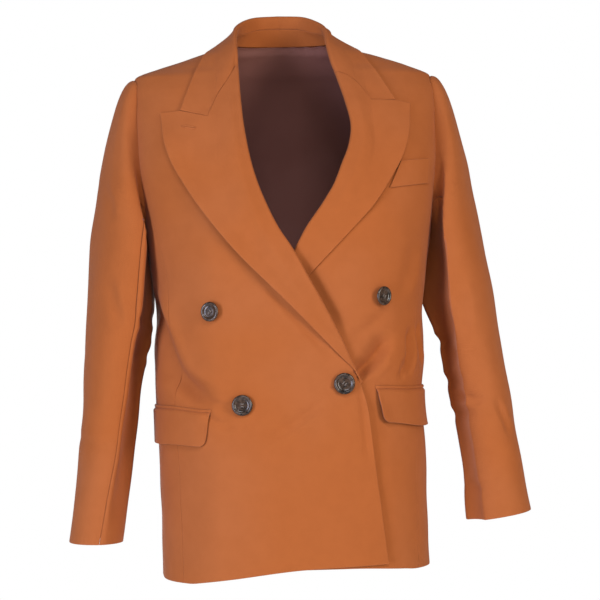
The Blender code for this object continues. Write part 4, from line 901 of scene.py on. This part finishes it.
def back_panel(side):
    """Half the back; its rows are level, so that they end on the shoulder seam one by one."""
    outer = chain((BACK_SIDE_SHARE, side_seam(side, "back", -SIGN[side] * SEAM / 2)),
                  (BACK_ARMHOLE_SHARE, armhole_line(JOINS["back"], 1.0, side, "back")),
                  (1.0, backwards(shoulder_line(side, "back"))))
    hem = ends(outer)[0]

    def inner(share):
        height = outer(share)[..., 1] + (BACK_HEM - hem[1]) * (1 - share)
        return stack(3.0 + SIGN[side] * SEAM / 2 / quarter_length(height, False), height)
    bottom, top = (straight(*pair) for pair in zip(ends(inner), ends(outer)))
    rows = lines(BODY_LENGTH, CELL, (BACK_SIDE_SHARE, BACK_ARMHOLE_SHARE))
    return panel(f"back_{side}", lines(BACK_WIDTH, CELL), rows, (bottom, top, inner, outer),
                 FOLDS[side])


def back_lining():
    """One lining for both backs, a little inside their edges, puckered where it is sewn."""
    def edge(side):
        inward = -SIGN[side] * LINING_INSET
        hole = moved(armhole_line(JOINS["back"], LINING_TOP_SHARE, side, "back"), inward, "back")
        neck = np.array((3 + SIGN[side] * LINING_NECK_TURN, LINING_NECK_HEIGHT))
        line = chain((LINING_SIDE_SHARE, side_seam(side, "back", inward)),
                     (LINING_ARMHOLE_SHARE, hole), (1.0, straight(ends(hole)[1], neck)))

        def place(share):
            turn, height = columns(line(share))
            rise = (LINING_HEM - BACK_HEM) * (1 - share)**LINING_HEM_FADE
            return stack(turn, height + rise)
        return place
    right, left = edge("right"), edge("left")
    bottom, top = (straight(*pair) for pair in zip(ends(right), ends(left)))

    def sewn(point):
        x, _, z = columns(point)
        pucker = np.sin(PUCKERS * x * (2 + np.sin(PUCKER_DRIFT * x)))
        pucker = pucker * ramp(z, LINING_NECK_HEIGHT - PUCKER_FADE, LINING_NECK_HEIGHT)
        return (LINING_GAP - LINING_SEAM) * ramp(z, *LINING_SEWN) - PUCKER_HEIGHT * (1 + pucker)
    panel("lining_back", lines(LINING_WIDTH, CELL), lines(BODY_LENGTH, CELL),
          (bottom, top, right, left), (), sewn, SHELL + LINING_GAP, (0, 0, 0, 0), (0, 0, 0, 0),
          wall=LINING, slots=("brown_lining",))


# Lapels

def gorge_lines(side):
    """The gorge from the roll line to the end of the seam, and on to the notch."""
    roll = beside(ROLL_LINES[side], -SIGN[side] * ROLL)
    gorge = np.vstack((roll[-1], GORGES[side]))
    return through(gorge), through((gorge[-1], NOTCHES[side]))


def lapel(side):
    """A lapel that rolls round the front's edge, with the facing's first strip behind it."""
    way = -SIGN[side]
    gorge, notch = gorge_lines(side)
    tip = chain((GORGE_SHARE, gorge), (NOTCH_SHARE, notch),
                (1.0, through((NOTCHES[side], LAPEL_EDGES[side][-1]))))
    drop = np.array((0.0, -GORGE_GAP))
    roll = beside(ROLL_LINES[side], way * ROLL)
    roll[-1] += drop
    outwards = beside(ROLL_LINES[side], way * (ROLL + BREAK_WIDTH))[0]
    roll_line, edge_line = through(roll), through(np.vstack((outwards, LAPEL_EDGES[side])))

    def top(share):
        return tip(share) + drop * ramp(share, 1.0, GORGE_FADE)[..., None]
    leaf = lines(LAPEL_WIDTH, FINE_CELL, (GORGE_SHARE, NOTCH_SHARE), first=False)
    facing, fold, leaf = rolled(np.append(EDGE_LINES / FACING_WIDTH, FACING_LINES), leaf)
    fold = fold - math.pi / 2
    leaf, v = np.meshgrid(leaf, lines(LAPEL_LENGTH, FINE_CELL))
    leaf = leaf * mix(END_WIDTH, 1.0, ramp(v, 0.0, END_TAPER))
    rows = patch(leaf, v, through((roll[0], outwards)), top, roll_line, edge_line)
    away = left_of(unit(roll_line(v + LINE_STEP) - roll_line(v - LINE_STEP))) * way
    width = np.linalg.norm(edge_line(v) - roll_line(v), axis=-1)
    reach = leaf * width
    bow = LAPEL_BOW * ramp(reach, *BOW_RISE) * ramp(reach, *BOW_FALL)
    bow = bow * mix(1.0, BOW_TOP, ramp(v, BOW_TOP_SHARE, 1.0))
    rise, rise_width = EDGE_RISES[side]
    rise = rise * bump(width - reach, rise_width) * ramp(v, 1.0, EDGE_RISE_FROM) * (leaf > 0)
    free = (bow + rise) * ramp(width, *BOW_WIDTHS)
    if side == "left":
        free = free * ramp(rows[..., 1], *LEFT_BOW_HEIGHTS)
    out = free - SHELL / 2 + ROLL * np.sin(fold) - END_SINK * ramp(v, END_SINK_BY, 0.0)
    x, z = columns(rows + away * (facing * FACING_WIDTH - ROLL * np.cos(fold))[..., None])
    return shell(f"lapel_{side}", laid_on_front(side, turn_at_x(x, z), z, out),
                 swell=LEAF_SWELL, slots=UNLINED, dip=0.0, seams=(0, 0, 0, 1))


# Collar

def from_ends(v):
    """0 at the collar's two front ends, 1 at the centre back."""
    return 1 - np.abs(2 * v - 1)


def both_halves(v, half):
    return np.where((v <= 0.5)[..., None], half("right"), half("left"))


def collar_table(v, first):
    """Reads three columns of the collar from its right front end round to the left one."""
    def half(side):
        share, *table = COLLARS[side].T
        x, y, z = (curve(share, values, from_ends(v)) for values in table[first:first + 3])
        return stack(x * SIGN[side], y, z)
    return both_halves(v, half)


def collar_frame(v):
    """Roll of the collar, the way from its inner to its outer leaf, and the way up."""
    def roll(move):
        return collar_table(v + move, ROLL_COLUMN)
    tangent = unit(roll(LINE_STEP) - roll(-LINE_STEP))
    outward = sum(body_gap(roll(move))[1] for move in COLLAR_SMOOTHING)
    outward = unit(outward - tangent * (outward * tangent).sum(-1, keepdims=True))
    over, here = np.cross(outward, tangent), roll(0)
    over *= np.sign((over * (NECK_CENTRE - here)).sum(-1, keepdims=True))
    return here, outward, over


def collar_drop(v):
    return mix(FRONT_DROP, STAND_DROP, ramp(from_ends(v), *DROP_SHARES))


def collar_end(share, side):
    """The collar's front end on the body: along the gorge, then to the collar's corner."""
    gorge, notch = gorge_lines(side)
    x, z = columns(chain((COLLAR_GORGE_SHARE, gorge), (1.0, notch))(share))
    return laid_on_front(side, turn_at_x(x, z), z, SHELL + LAYER)


def collar_leaf(v, share):
    """The fall's outer face, from the fold down to its outer edge."""
    roll, outward, over = collar_frame(v)
    start, end = roll - over * ROLL + outward * ROLL, collar_table(v, EDGE_COLUMN)
    size = np.linalg.norm(end - start, axis=-1, keepdims=True)
    leave, arrive = -over * size * COLLAR_LEAVE, (end - start) * COLLAR_ARRIVE
    return hermite(start, end, leave, arrive, share[..., None])


def collar_fall():
    leaf = lines(COLLAR_WIDTH, FINE_CELL, (COLLAR_GORGE_SHARE,), first=False)
    inside, fold, share = rolled(np.append(EDGE_LINES[:-1] / STAND_DROP, INSIDE_LINES), leaf)
    share, v = np.meshgrid(share, lines(COLLAR_LENGTH, FINE_CELL))
    roll, outward, over = collar_frame(v)
    turned = (roll - over * ROLL - outward * (ROLL * np.cos(fold))[:, None]
              + over * (ROLL * np.sin(fold) - inside * collar_drop(v))[..., None])
    leaf = collar_leaf(v, share)
    for side, end in (("right", 0.0), ("left", 1.0)):
        change = collar_end(share, side) - collar_leaf(np.full(v.shape, end), share)
        near = ramp(np.abs(v - end), COLLAR_END_FADE, 0.0) * ramp(share, 0.0, COLLAR_FOLD_KEEP)
        leaf = leaf + change * near[..., None]
    clear = clear_of_body(leaf, SHELL + LAYER)
    leaf = mix(leaf, clear, ramp(share, 0.0, COLLAR_CLEAR_FROM)[..., None])
    shell("collar_fall", np.where((share > 0)[..., None], leaf, turned),
          swell=LEAF_SWELL, slots=UNLINED, dip=0.0, seams=(0, 0, 1, 1))


def neck_edge_place(v):
    """The neck seam of the fronts and backs, from right front to left front."""
    share = from_ends(v)
    around = np.clip((1 - share) / (1 - NECK_FRONT_SHARE), 0, 1)

    def half(side):
        front = front_line(neck_points(side))(share / NECK_FRONT_SHARE)
        back = stack(3 + SIGN[side] * around, np.full(v.shape, NECK_HEIGHT))
        return np.where((share <= NECK_FRONT_SHARE)[..., None], front, back)
    return both_halves(v, half)


def collar_stand():
    u, v = np.meshgrid(lines(STAND_WIDTH, FINE_CELL), lines(STAND_LENGTH, FINE_CELL))
    v = mix((1 - STAND_REACH) / 2, (1 + STAND_REACH) / 2, v)
    roll, outward, over = collar_frame(v)
    top = roll - over * (ROLL + collar_drop(v) + SEAM)[..., None] - outward * ROLL
    turn, height = columns(neck_edge_place(v))
    base = form(turn, height + STAND_GAP)
    points = mix(base - body_gap(base)[1] * SHELL, top, u[..., None])
    side = -np.sign((grid_normals(points) * outward).sum())
    shell("collar_stand", points, side, slots=UNLINED)


# Sleeves

def outline(share):
    """A sleeve's rounded section, as shares of its half width and half depth."""
    return [np.sign(value) * np.abs(value)**(2 / SLEEVE_SQUARENESS)
            for value in (np.cos(share * 2 * math.pi), np.sin(share * 2 * math.pi))]


def sleeve_ring(side, around, height):
    """A level section of a sleeve's lower part: around 0 is its outer side, 0.25 its front.

    Its underside runs straight in from the front seam."""
    heights, *table = SLEEVES[side].T
    outer_x, inner_x, middle_y, half_depth, twist = (
        curve(-heights, values, -height) for values in table)
    along = mix(CAP_SHARE, 1.0, (heights[0] - height) / (heights[0] - heights[-1]))
    seam = curve(*FRONT_SEAMS[side], along) + HOLLOW_FROM[side]
    share = around % 1.0
    under = (share > seam) & (share < UNDERSIDE)
    flat = mix(1.0, UNDER_FLAT_END[side], ramp(along, UNDER_FLAT_FROM, 1.0)) * under
    reach = np.clip((share - seam) / (UNDERSIDE - seam), 0, 1)
    across, deep = (
        mix(whole, mix(first, last, way), flat) for whole, first, last, way in zip(
            outline(share), outline(seam), outline(np.full(seam.shape, UNDERSIDE)),
            (reach**HOLLOW, 1 - (1 - reach)**HOLLOW)))
    x, y = (outer_x - inner_x) / 2 * across, half_depth * deep
    cos, sin = np.cos(np.radians(twist)), np.sin(np.radians(twist))
    return stack(SIGN[side] * ((outer_x + inner_x) / 2 + x * cos - y * sin),
                 middle_y - (x * sin + y * cos), height)


def sleeve_place(side, around, along):
    """A sleeve's outer face: along 0 is the armhole, CAP_SHARE the biceps, 1 the cuff."""
    table, share = SLEEVES[side], around % 1.0
    biceps, cuff = np.full(around.shape, table[0, 0]), table[-1, 0]
    start = form(*armhole(share, side))
    start = start + body_gap(start)[1] * SLEEVE_SEAM
    ring, below = sleeve_ring(side, around, biceps), sleeve_ring(side, around, biceps - CAP_STEP)
    up = (1 + np.cos(2 * math.pi * around)) / 2
    fading = np.where(share < UNDERSIDE, 1 - 2 * ramp(share, *HEAD_TURNS_IN[side]), 1.0)
    leave = stack(SIGN[side] * (CAP_LEAVE + CAP_PUSH * up),
                  -CAP_FORWARD * np.sin(2 * math.pi * around) * fading,
                  CAP_RISE * up - CAP_FALL * (1 - up))
    size = np.linalg.norm(ring - start, axis=-1)
    arrive = (below - ring) / CAP_STEP * (size * CAP_ARRIVE)[..., None]
    cap = hermite(start, ring, leave, arrive, np.clip(along / CAP_SHARE, 0, 1)[..., None])
    down = np.clip((along - CAP_SHARE) / (1 - CAP_SHARE), 0, 1)
    tube = sleeve_ring(side, around, mix(biceps, cuff, down))
    middle = (table[-1, 1] + table[-1, 2]) / 2
    tube[..., 2] += CUFF_TILT[side] * (np.abs(tube[..., 0]) - middle) * down**CUFF_TILT_POWER
    place = np.where((along < CAP_SHARE)[..., None], cap, tube)
    distance = mix(SLEEVE_SEAM_CLEAR, SLEEVE_CLEAR, ramp(-place[..., 2], *CLEAR_BELOW[side]))
    return np.where((along > 0)[..., None], clear_of_body(place, distance), place)


def sleeve(side, part):
    u, v = np.meshgrid(lines(SLEEVE_WIDTHS[part], CELL), lines(SLEEVE_LENGTH, CELL, (CAP_SHARE,)))
    front = curve(*FRONT_SEAMS[side], v)
    back = mix(BACK_SEAM_TOP, BACK_SEAM, ramp(v, 0.0, SEAMS_SETTLE))
    seams = (back - 1, front) if part == "upper" else (front, back)
    points = sleeve_place(side, mix(seams[0] + SLEEVE_SEAM_GAP, seams[1] - SLEEVE_SEAM_GAP, u), v)
    normal = grid_normals(points) * SIGN[side]
    height = ripple(points) + sum(creases(points, facing, SLEEVE_FOLDS[name]) for name, facing in (
        ("front", -normal[..., 1]), ("back", normal[..., 1]), ("inner", np.ones(v.shape))))
    points = points + normal * (height * ramp(v, *CREASES_FROM))[..., None]
    aside = unit(points[2] - points[0]) * TUCK_ASIDE
    tuck = [points[0] + aside - body_gap(points[0])[1] * depth for depth in TUCK]
    shell(f"sleeve_{part}_{side}", np.concatenate((tuck, points)), SIGN[side],
          facings=(0, 0, 0, HEM_FACING), seams=(1, 1, 1, 0), dip=SLEEVE_SEAM_DIP)


# Pockets

def pocket(side, front_x, top_z, length, depth, rise, bottom_rise, lean, edge_lift):
    """A flap and the jet above it, from the front end round to the side."""
    start = turn_at_x(front_x, top_z)
    way = -SIGN[side] / quarter_length(top_z, True)

    def laid_beside(run, height, out):
        return laid_on_front(side, start + way * run, height, out)
    u, v = np.meshgrid(lines(length, SMALL_CELL), lines(depth, SMALL_CELL))
    run = u * length
    corner = np.clip(FLAP_CORNER - run, 0, None)
    full = depth + (rise - bottom_rise) * ramp(run, 0.0, BOTTOM_RISE_BY)
    drop = v * (full - FLAP_CORNER + np.sqrt(FLAP_CORNER**2 - corner**2))
    top = top_z + FLAP_UNDER_JET + rise * ramp(run, 0.0, TOP_RISE_BY)
    lift = mix(*FLAP_STAND, ramp(v, *FLAP_STAND_BY)) + FLAP_BULGE * ramp(v, 0.0, 1.0)
    lift = lift + edge_lift * bump(run, FLAP_EDGE_WIDTH) * ramp(v, 0.0, FLAP_EDGE_BY)
    shell(f"pocket_flap_{side}", laid_beside(run + lean * drop * (1 - u), top - drop, LAYER + lift),
          swell=LEAF_SWELL)
    u, v = np.meshgrid(lines(length, SMALL_CELL), np.linspace(0, 1, JET_LINES))
    run = mix(-JET_OVERHANG, length + JET_OVERHANG, u)
    top = top_z + rise * ramp(run, 0.0, TOP_RISE_BY)
    roll = JET_ROLL * np.sin(math.pi * v)**JET_ROLL_POWER * ramp(run, -JET_OVERHANG, JET_FADE)
    roll = roll * ramp(run, length + JET_OVERHANG, length - JET_FADE)
    shell(f"pocket_jet_{side}", laid_beside(run, top + v * JET_DEPTH, LAYER + roll),
          wall=JET_WALL, slots=UNLINED)


def breast_welt():
    u, v = np.meshgrid(lines(WELT_WIDTH, SMALL_CELL), lines(WELT_DEPTH, SMALL_CELL))
    x, z = columns(mix(through(WELT_BOTTOM)(u), through(WELT_TOP)(u), v[..., None]))
    shell("breast_welt", laid_on_front("left", turn_at_x(x, z), z, LAYER + SHELL), slots=UNLINED)


# Buttons

def surface_under(piece, x, z):
    """The point of a piece seen from the front at (x, z), and the way out of it."""
    if piece.name not in trees:
        mesh = piece.data
        trees[piece.name] = BVHTree.FromPolygons([vertex.co for vertex in mesh.vertices],
                                                 [tuple(face.vertices) for face in mesh.polygons])
    return trees[piece.name].ray_cast(Vector((x, -1.0, z)), Vector((0, 1, 0)))[:2]


def button(node, front, x, z, size, spin, lean):
    """A turned horn button with four sunken holes, sewn on with thread."""
    place, normal = surface_under(fronts[front], x, z)
    profile = through(BUTTON_PROFILE)(np.linspace(0, 1, BUTTON_RINGS))
    angle = np.linspace(0, 2 * math.pi, BUTTON_SIDES, endpoint=False)
    radius, level = profile[1:-1, 0, None], profile[1:-1, 1, None] + 0 * angle
    flat = stack(radius * np.cos(angle), radius * np.sin(angle))
    face = np.arange(1, BUTTON_RINGS - 1)[:, None] < BUTTON_RINGS * FACE_SHARE
    for signs in itertools.product((-1, 1), (-1, 1)):
        off = np.linalg.norm(flat - HOLE_PLACE * np.array(signs), axis=-1)
        level = level - HOLE_DEPTH * ramp(off, *HOLE_WALL) * face
    places = [(0, 0, profile[0, 1]), *stack(*columns(flat), level).reshape(-1, 3).tolist(),
              (0, 0, profile[-1, 1])]
    back, last = len(places) - 1 - BUTTON_SIDES, len(places) - 1
    faces = ring_quads(BUTTON_RINGS - 2, BUTTON_SIDES, 1).tolist()
    steps = [(i, (i + 1) % BUTTON_SIDES) for i in range(BUTTON_SIDES)]
    faces += [(1 + i, 1 + j, 0) for i, j in steps] + [(back + j, back + i, last) for i, j in steps]
    body = bpy.data.meshes.new(node)
    body.from_pydata(places, [], faces)
    body.flip_normals()
    leant = math.radians(lean)
    seat = BUTTON_SEAT + BUTTON_RADIUS * abs(math.sin(leant))
    turned = (Matrix.Translation(place + normal * seat)
              @ Matrix.Rotation(math.copysign(leant, lean * x), 4, "Z")
              @ normal.to_track_quat("Z", "Y").to_matrix().to_4x4()
              @ Matrix.Rotation(math.radians(spin), 4, "Z")
              @ Matrix.Diagonal((size, size, size, 1.0)))
    body.transform(turned)
    own_piece(f"{node}_horn", body, ("dark_horn",), node)
    stitches(f"{node}_thread", turned)


def tube(line, radius, sides=STRAND_SIDES):
    """Places and quads of a thin round thread along a line of points."""
    run = unit(np.gradient(line, axis=0))
    aside = unit(np.cross(run, THREAD_ASIDE))[:, None]
    up = np.cross(run[:, None], aside)
    angle = np.linspace(0, 2 * math.pi, sides, endpoint=False)[:, None]
    radius = np.broadcast_to(radius, len(line))[:, None, None]
    ring = line[:, None] + radius * (np.cos(angle) * aside + np.sin(angle) * up)
    return ring.reshape(-1, 3), ring_quads(len(line), sides)


def stitches(name, turned):
    """Two bundles of thread side by side over a button's holes."""
    t = np.linspace(-1, 1, STRAND_POINTS)
    level = STRAND_LEVEL + STRAND_ARCH * (1 - t**2) - STRAND_DIVE * ramp(np.abs(t), DIVE_FROM, 1.0)
    places, quads, start = [], [], 0
    for aside, strand in itertools.product((1, -1), range(STRANDS)):
        shift = (strand - (STRANDS - 1) / 2) * STRAND_GAP
        across = aside * HOLE_PLACE * mix(STRAND_WAIST, 1.0, t**2) + shift
        some, faces = tube(stack(HOLE_PLACE * t, across, level), STRAND_RADIUS)
        places.append(some)
        quads.append(faces + start)
        start += len(some)
    mesh = mesh_of(name, np.concatenate(places), np.concatenate(quads))
    mesh.transform(turned)
    own_piece(name, mesh, ("sewing_thread",), None, "dark_horn")


def buttonhole(name, between_ends, piece, radius):
    """Close stitches round a buttonhole, as one fine ridged cord laid in a long oval."""
    start, end = between_ends
    length = np.linalg.norm(end - start)
    run = (end - start) / length
    t = np.linspace(0, 2 * math.pi, HOLE_STITCHES)
    along = np.sign(np.cos(t)) * np.abs(np.cos(t))**HOLE_SQUARENESS * length / 2
    line = []
    for a, b in zip(along, np.sin(t) * HOLE_WIDTH / 2):
        place, normal = surface_under(piece, *((start + end) / 2 + run * a + left_of(run) * b))
        line.append(place + normal * radius * HOLE_SUNK)
    ridges = radius * (1 + STITCH_RIDGE * np.sin(np.arange(HOLE_STITCHES) * STITCH_TURN))
    mesh = mesh_of(name, *tube(np.array(line), ridges))
    own_piece(name, mesh, ("sewing_twist",), None, "rust_twill")


# Finishes

def step(operation):
    return lambda wire, *others: wire.finish.node("ShaderNodeMath", {"operation": operation},
                                                  (wire, *others))


class Wire:
    """A socket of a finish that takes part in plain sums."""

    __add__, __sub__ = step("ADD"), step("SUBTRACT")
    __mul__, __truediv__ = step("MULTIPLY"), step("DIVIDE")
    sine = step("SINE")

    def __init__(self, finish, socket):
        self.finish, self.socket = finish, socket

    def wave(self):
        """Runs from 0 to 1 and back once per whole number."""
        return ((self * (2 * math.pi)).sine() + 1.0) * 0.5

    def between(self, low, high):
        """0 below low and 1 above high, smooth between them."""
        settings = {"interpolation_type": "SMOOTHSTEP"}
        return self.finish.node("ShaderNodeMapRange", settings, {0: self, 1: low, 2: high})


class Finish:
    """A material made of nodes, with its main shader and the place on its object."""

    def __init__(self, name, **constants):
        self.material = bpy.data.materials.new(name)
        self.material.use_nodes = True
        self.tree = self.material.node_tree
        self.shader = self.tree.nodes["Principled BSDF"]
        for socket, value in constants.items():
            self.shader.inputs[socket.replace("_", " ")].default_value = value
        self.place = self.node("ShaderNodeTexCoord", {}, (), "Object")
        finishes[name] = self.material

    def node(self, kind, settings, inputs, output=0):
        node = self.tree.nodes.new(kind)
        for setting, value in settings.items():
            setattr(node, setting, value)
        for socket, value in (inputs.items() if isinstance(inputs, dict) else enumerate(inputs)):
            if isinstance(value, Wire):
                self.tree.links.new(value.socket, node.inputs[socket])
            else:
                node.inputs[socket].default_value = value
        return Wire(self, node.outputs[output])

    def thread(self):
        """Way across and along the cloth, and distance from its edge, in metres."""
        vector = self.node("ShaderNodeAttribute", {"attribute_name": "thread"}, (), "Vector")
        return [self.node("ShaderNodeSeparateXYZ", {}, (vector,), axis) for axis in "XYZ"]

    def noise(self, scale, detail=2.0, roughness=0.5):
        settings = {"noise_dimensions": "3D"}
        inputs = {"Vector": self.place, "Scale": scale, "Detail": detail, "Roughness": roughness}
        return self.node("ShaderNodeTexNoise", settings, inputs)

    def colours(self, first, second, share):
        inputs = {0: share, 6: first, 7: second}
        return self.node("ShaderNodeMix", {"data_type": "RGBA"}, inputs, 2)

    def colour(self, wire):
        self.tree.links.new(wire.socket, self.shader.inputs["Base Color"])

    def bump(self, height, distance, strength):
        inputs = {"Height": height, "Distance": distance, "Strength": strength}
        normal = self.node("ShaderNodeBump", {}, inputs)
        self.tree.links.new(normal.socket, self.shader.inputs["Normal"])


finishes, trees = {}, {}
WALE, YARN, WALE_ACROSS, WALE_ALONG = 0.0011, 0.00052, 0.80, 0.60
RUST, RUST_RED = (0.360, 0.094, 0.0215, 1), (0.365, 0.101, 0.0275, 1)
RUST_DEEP, RUST_EDGE = (0.265, 0.065, 0.0140, 1), (0.405, 0.118, 0.0340, 1)
RUST_SHEEN = (1.0, 0.80, 0.70, 1)
LIGHT_SHARES, LIGHT_RANGE, LIGHT_FROM = (0.30, 0.40, 0.30), 0.55, 0.62    # of wale, nap, mottle
RELIEF_SHARES = (0.6, 0.25, 0.55)                                         # of wale, yarn, nap
# Free edges are lighter: partly wear, partly a painted highlight of the shine along the edges
EDGE_WEAR_AND_HIGHLIGHT, EDGE_SHARE = (0.0002, 0.0016), 0.5
LINING_DARK, LINING_PALE = (0.180, 0.068, 0.052, 1), (0.200, 0.078, 0.060, 1)
HORN_DARK, HORN_BROWN, HORN_BAND = ((0.006, 0.004, 0.003, 1), (0.040, 0.021, 0.012, 1),
                                    (0.110, 0.066, 0.044, 1))
THREADS = {
    "sewing_thread": ((0.15, 0.115, 0.095, 1), (0.22, 0.175, 0.145, 1)),
    "sewing_twist": ((0.36, 0.100, 0.028, 1), (0.44, 0.135, 0.042, 1)),
}
FLOOR_GREYS = (0.86, 0.86, 0.86, 1), (0.89, 0.89, 0.88, 1)


def blend(shares, first, second, third):
    return first * shares[0] + second * shares[1] + third * shares[2]


def rust_twill():
    finish = Finish("rust_twill", Roughness=0.85, Sheen_Weight=0.10, Sheen_Roughness=0.45,
                    Sheen_Tint=RUST_SHEEN, Specular_IOR_Level=0.10)
    across, along, edge = finish.thread()
    wander = finish.noise(160.0) * 0.55
    wale = ((across * WALE_ACROSS + along * WALE_ALONG) / WALE + wander).wave()
    yarn = ((across * WALE_ALONG - along * WALE_ACROSS) / YARN).wave()
    nap = finish.noise(1500.0, detail=3.0, roughness=0.6)
    cloud = finish.noise(5.0).between(0.38, 0.62)
    mottle = finish.noise(55.0, detail=4.0, roughness=0.6).between(0.30, 0.70)
    tint = finish.colours(RUST, RUST_RED, cloud)
    light = blend(LIGHT_SHARES, wale, nap, mottle) * LIGHT_RANGE + LIGHT_FROM
    tint = finish.colours(RUST_DEEP, tint, light)
    # Painted highlight and wear: the colour turns towards RUST_EDGE within about two millimetres of
    # a free edge
    inside = edge.between(*EDGE_WEAR_AND_HIGHLIGHT) * EDGE_SHARE + (1 - EDGE_SHARE)
    finish.colour(finish.colours(RUST_EDGE, tint, inside))
    finish.bump(blend(RELIEF_SHARES, wale, yarn, nap), distance=0.00010, strength=0.9)


def brown_lining():
    finish = Finish("brown_lining", Roughness=0.62, Specular_IOR_Level=0.12)
    cloud = finish.noise(12.0, detail=3.0).between(0.3, 0.7)
    finish.colour(finish.colours(LINING_DARK, LINING_PALE, cloud))
    weave = finish.noise(900.0) + finish.noise(40.0) * 3.0
    finish.bump(weave, distance=0.00008, strength=0.6)


def dark_horn():
    finish = Finish("dark_horn", Roughness=0.22, Specular_IOR_Level=0.46)
    bands = finish.noise(260.0, detail=4.0, roughness=0.65).between(0.40, 0.64)
    cloud = finish.noise(90.0, detail=3.0).between(0.35, 0.65)
    dark = finish.colours(HORN_DARK, HORN_BROWN, cloud)
    finish.colour(finish.colours(dark, HORN_BAND, bands * 0.6))
    finish.bump(finish.noise(2200.0), distance=0.00003, strength=0.4)


def thread_finish(name):
    finish = Finish(name, Roughness=0.8, Specular_IOR_Level=0.08)
    finish.colour(finish.colours(*THREADS[name], finish.noise(1800.0)))
    finish.bump(finish.noise(4000.0, detail=1.0), distance=0.00005, strength=0.7)


def pale_floor():
    finish = Finish("pale_floor", Roughness=0.9)
    finish.colour(finish.colours(*FLOOR_GREYS, finish.noise(3.0)))


# Studio

FLOOR_DROP, FLOOR_SIZE, FLOOR_SIDES = 0.55, 1.8, 96
LIGHTS = (                # (place, aimed at, width, height, power, colour)
    ((-2.26, -2.26, -0.50), (0, 0, -0.40), 0.9, 2.2, 79.0, (0.93, 1.04, 1.36)),
    ((2.15, -2.37, 0.08), (0, 0, -0.30), 0.9, 2.0, 66.0, (1.0, 0.98, 0.92)),
    ((0.0, -2.60, 1.40), (0, 0, -0.15), 1.6, 0.8, 33.0, (1.0, 1.03, 1.12)),
    ((0.0, 2.60, -0.20), (0, 0, -0.40), 1.6, 1.6, 60.0, (1.0, 1.0, 1.0)),
)
SURROUND, SEEN_SURROUND = 0.14, 1.0
CAMERA_AIM, CAMERA_DISTANCE = (0.0138, 0.0, -0.333), 3.2
CAMERA_TURN, CAMERA_ROLL = math.radians(-5.0), math.radians(-1.4)
PIXELS_PER_METRE, PICTURE_SIDE, SENSOR = 765.0, 600.0, 36.0


def floor():
    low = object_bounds()[0].z - FLOOR_DROP
    angles = np.linspace(0, 2 * math.pi, FLOOR_SIDES, endpoint=False)
    rim = [(FLOOR_SIZE * math.cos(a), FLOOR_SIZE * math.sin(a), low) for a in angles]
    mesh = bpy.data.meshes.new("floor")
    mesh.from_pydata([(0.0, 0.0, low)] + rim, [],
                     [(0, 1 + i, 1 + (i + 1) % FLOOR_SIDES) for i in range(FLOOR_SIDES)])
    mesh.materials.append(finishes["pale_floor"])
    linked("floor", mesh)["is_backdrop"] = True


def surround():
    """A dim white surround that the camera sees as white."""
    world = bpy.data.worlds.new("studio")
    bpy.context.scene.world = world
    world.use_nodes = True
    nodes, link = world.node_tree.nodes, world.node_tree.links.new
    around, shown = nodes["Background"], nodes.new("ShaderNodeBackground")
    either = nodes.new("ShaderNodeMixShader")
    link(nodes.new("ShaderNodeLightPath").outputs["Is Camera Ray"], either.inputs[0])
    for place, node, strength in ((1, around, SURROUND), (2, shown, SEEN_SURROUND)):
        node.inputs["Color"].default_value = (1.0, 1.0, 1.0, 1.0)
        node.inputs["Strength"].default_value = strength
        link(node.outputs[0], either.inputs[place])
    link(either.outputs[0], nodes["World Output"].inputs[0])


def lights_and_camera():
    for order, (place, aim, width, height, power, colour) in enumerate(LIGHTS):
        light = bpy.data.lights.new(f"soft_light_{order}", "AREA")
        light.shape = "RECTANGLE"
        light.size, light.size_y, light.energy, light.color = width, height, power, colour
        lamp = linked(light.name, light)
        lamp.location = place
        lamp.rotation_euler = (Vector(place) - Vector(aim)).to_track_quat("Z", "Y").to_euler()
    camera = linked("camera", bpy.data.cameras.new("camera"))
    back = Vector((math.sin(CAMERA_TURN), -math.cos(CAMERA_TURN), 0))
    camera.matrix_world = (Matrix.Translation(Vector(CAMERA_AIM) + CAMERA_DISTANCE * back)
                           @ back.to_track_quat("Z", "Y").to_matrix().to_4x4()
                           @ Matrix.Rotation(CAMERA_ROLL, 4, "Z"))
    camera.data.sensor_width = SENSOR
    camera.data.lens = PIXELS_PER_METRE * CAMERA_DISTANCE / PICTURE_SIDE * SENSOR
    bpy.context.scene.camera = camera


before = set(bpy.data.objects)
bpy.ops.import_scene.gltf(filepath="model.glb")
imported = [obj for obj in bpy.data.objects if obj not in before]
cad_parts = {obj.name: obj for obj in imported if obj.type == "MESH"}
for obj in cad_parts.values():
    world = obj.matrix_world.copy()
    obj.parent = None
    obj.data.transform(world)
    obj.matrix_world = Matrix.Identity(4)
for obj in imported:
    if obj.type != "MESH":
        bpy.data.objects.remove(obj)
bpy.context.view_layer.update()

rust_twill()
brown_lining()
dark_horn()
for name in THREADS:
    thread_finish(name)
pale_floor()

fronts, lapels = {}, {}
for side in SIGN:
    fronts[side] = front_panel(side)
    side_panel(side)
    back_panel(side)
    lapels[side] = lapel(side)
back_lining()
collar_fall()
collar_stand()
for side in SIGN:
    for part in SLEEVE_WIDTHS:
        sleeve(side, part)
for flap in FLAPS:
    pocket(*flap)
breast_welt()
for row in BUTTONS:
    button(*row)
buttonhole("lapel_buttonhole", LAPEL_HOLE, lapels["right"], 0.0007)
buttonhole("fastened_buttonhole", FASTENED_HOLE, fronts["right"], 0.0006)

floor()
bpy.context.scene.view_settings.view_transform = "Standard"
surround()
lights_and_camera()
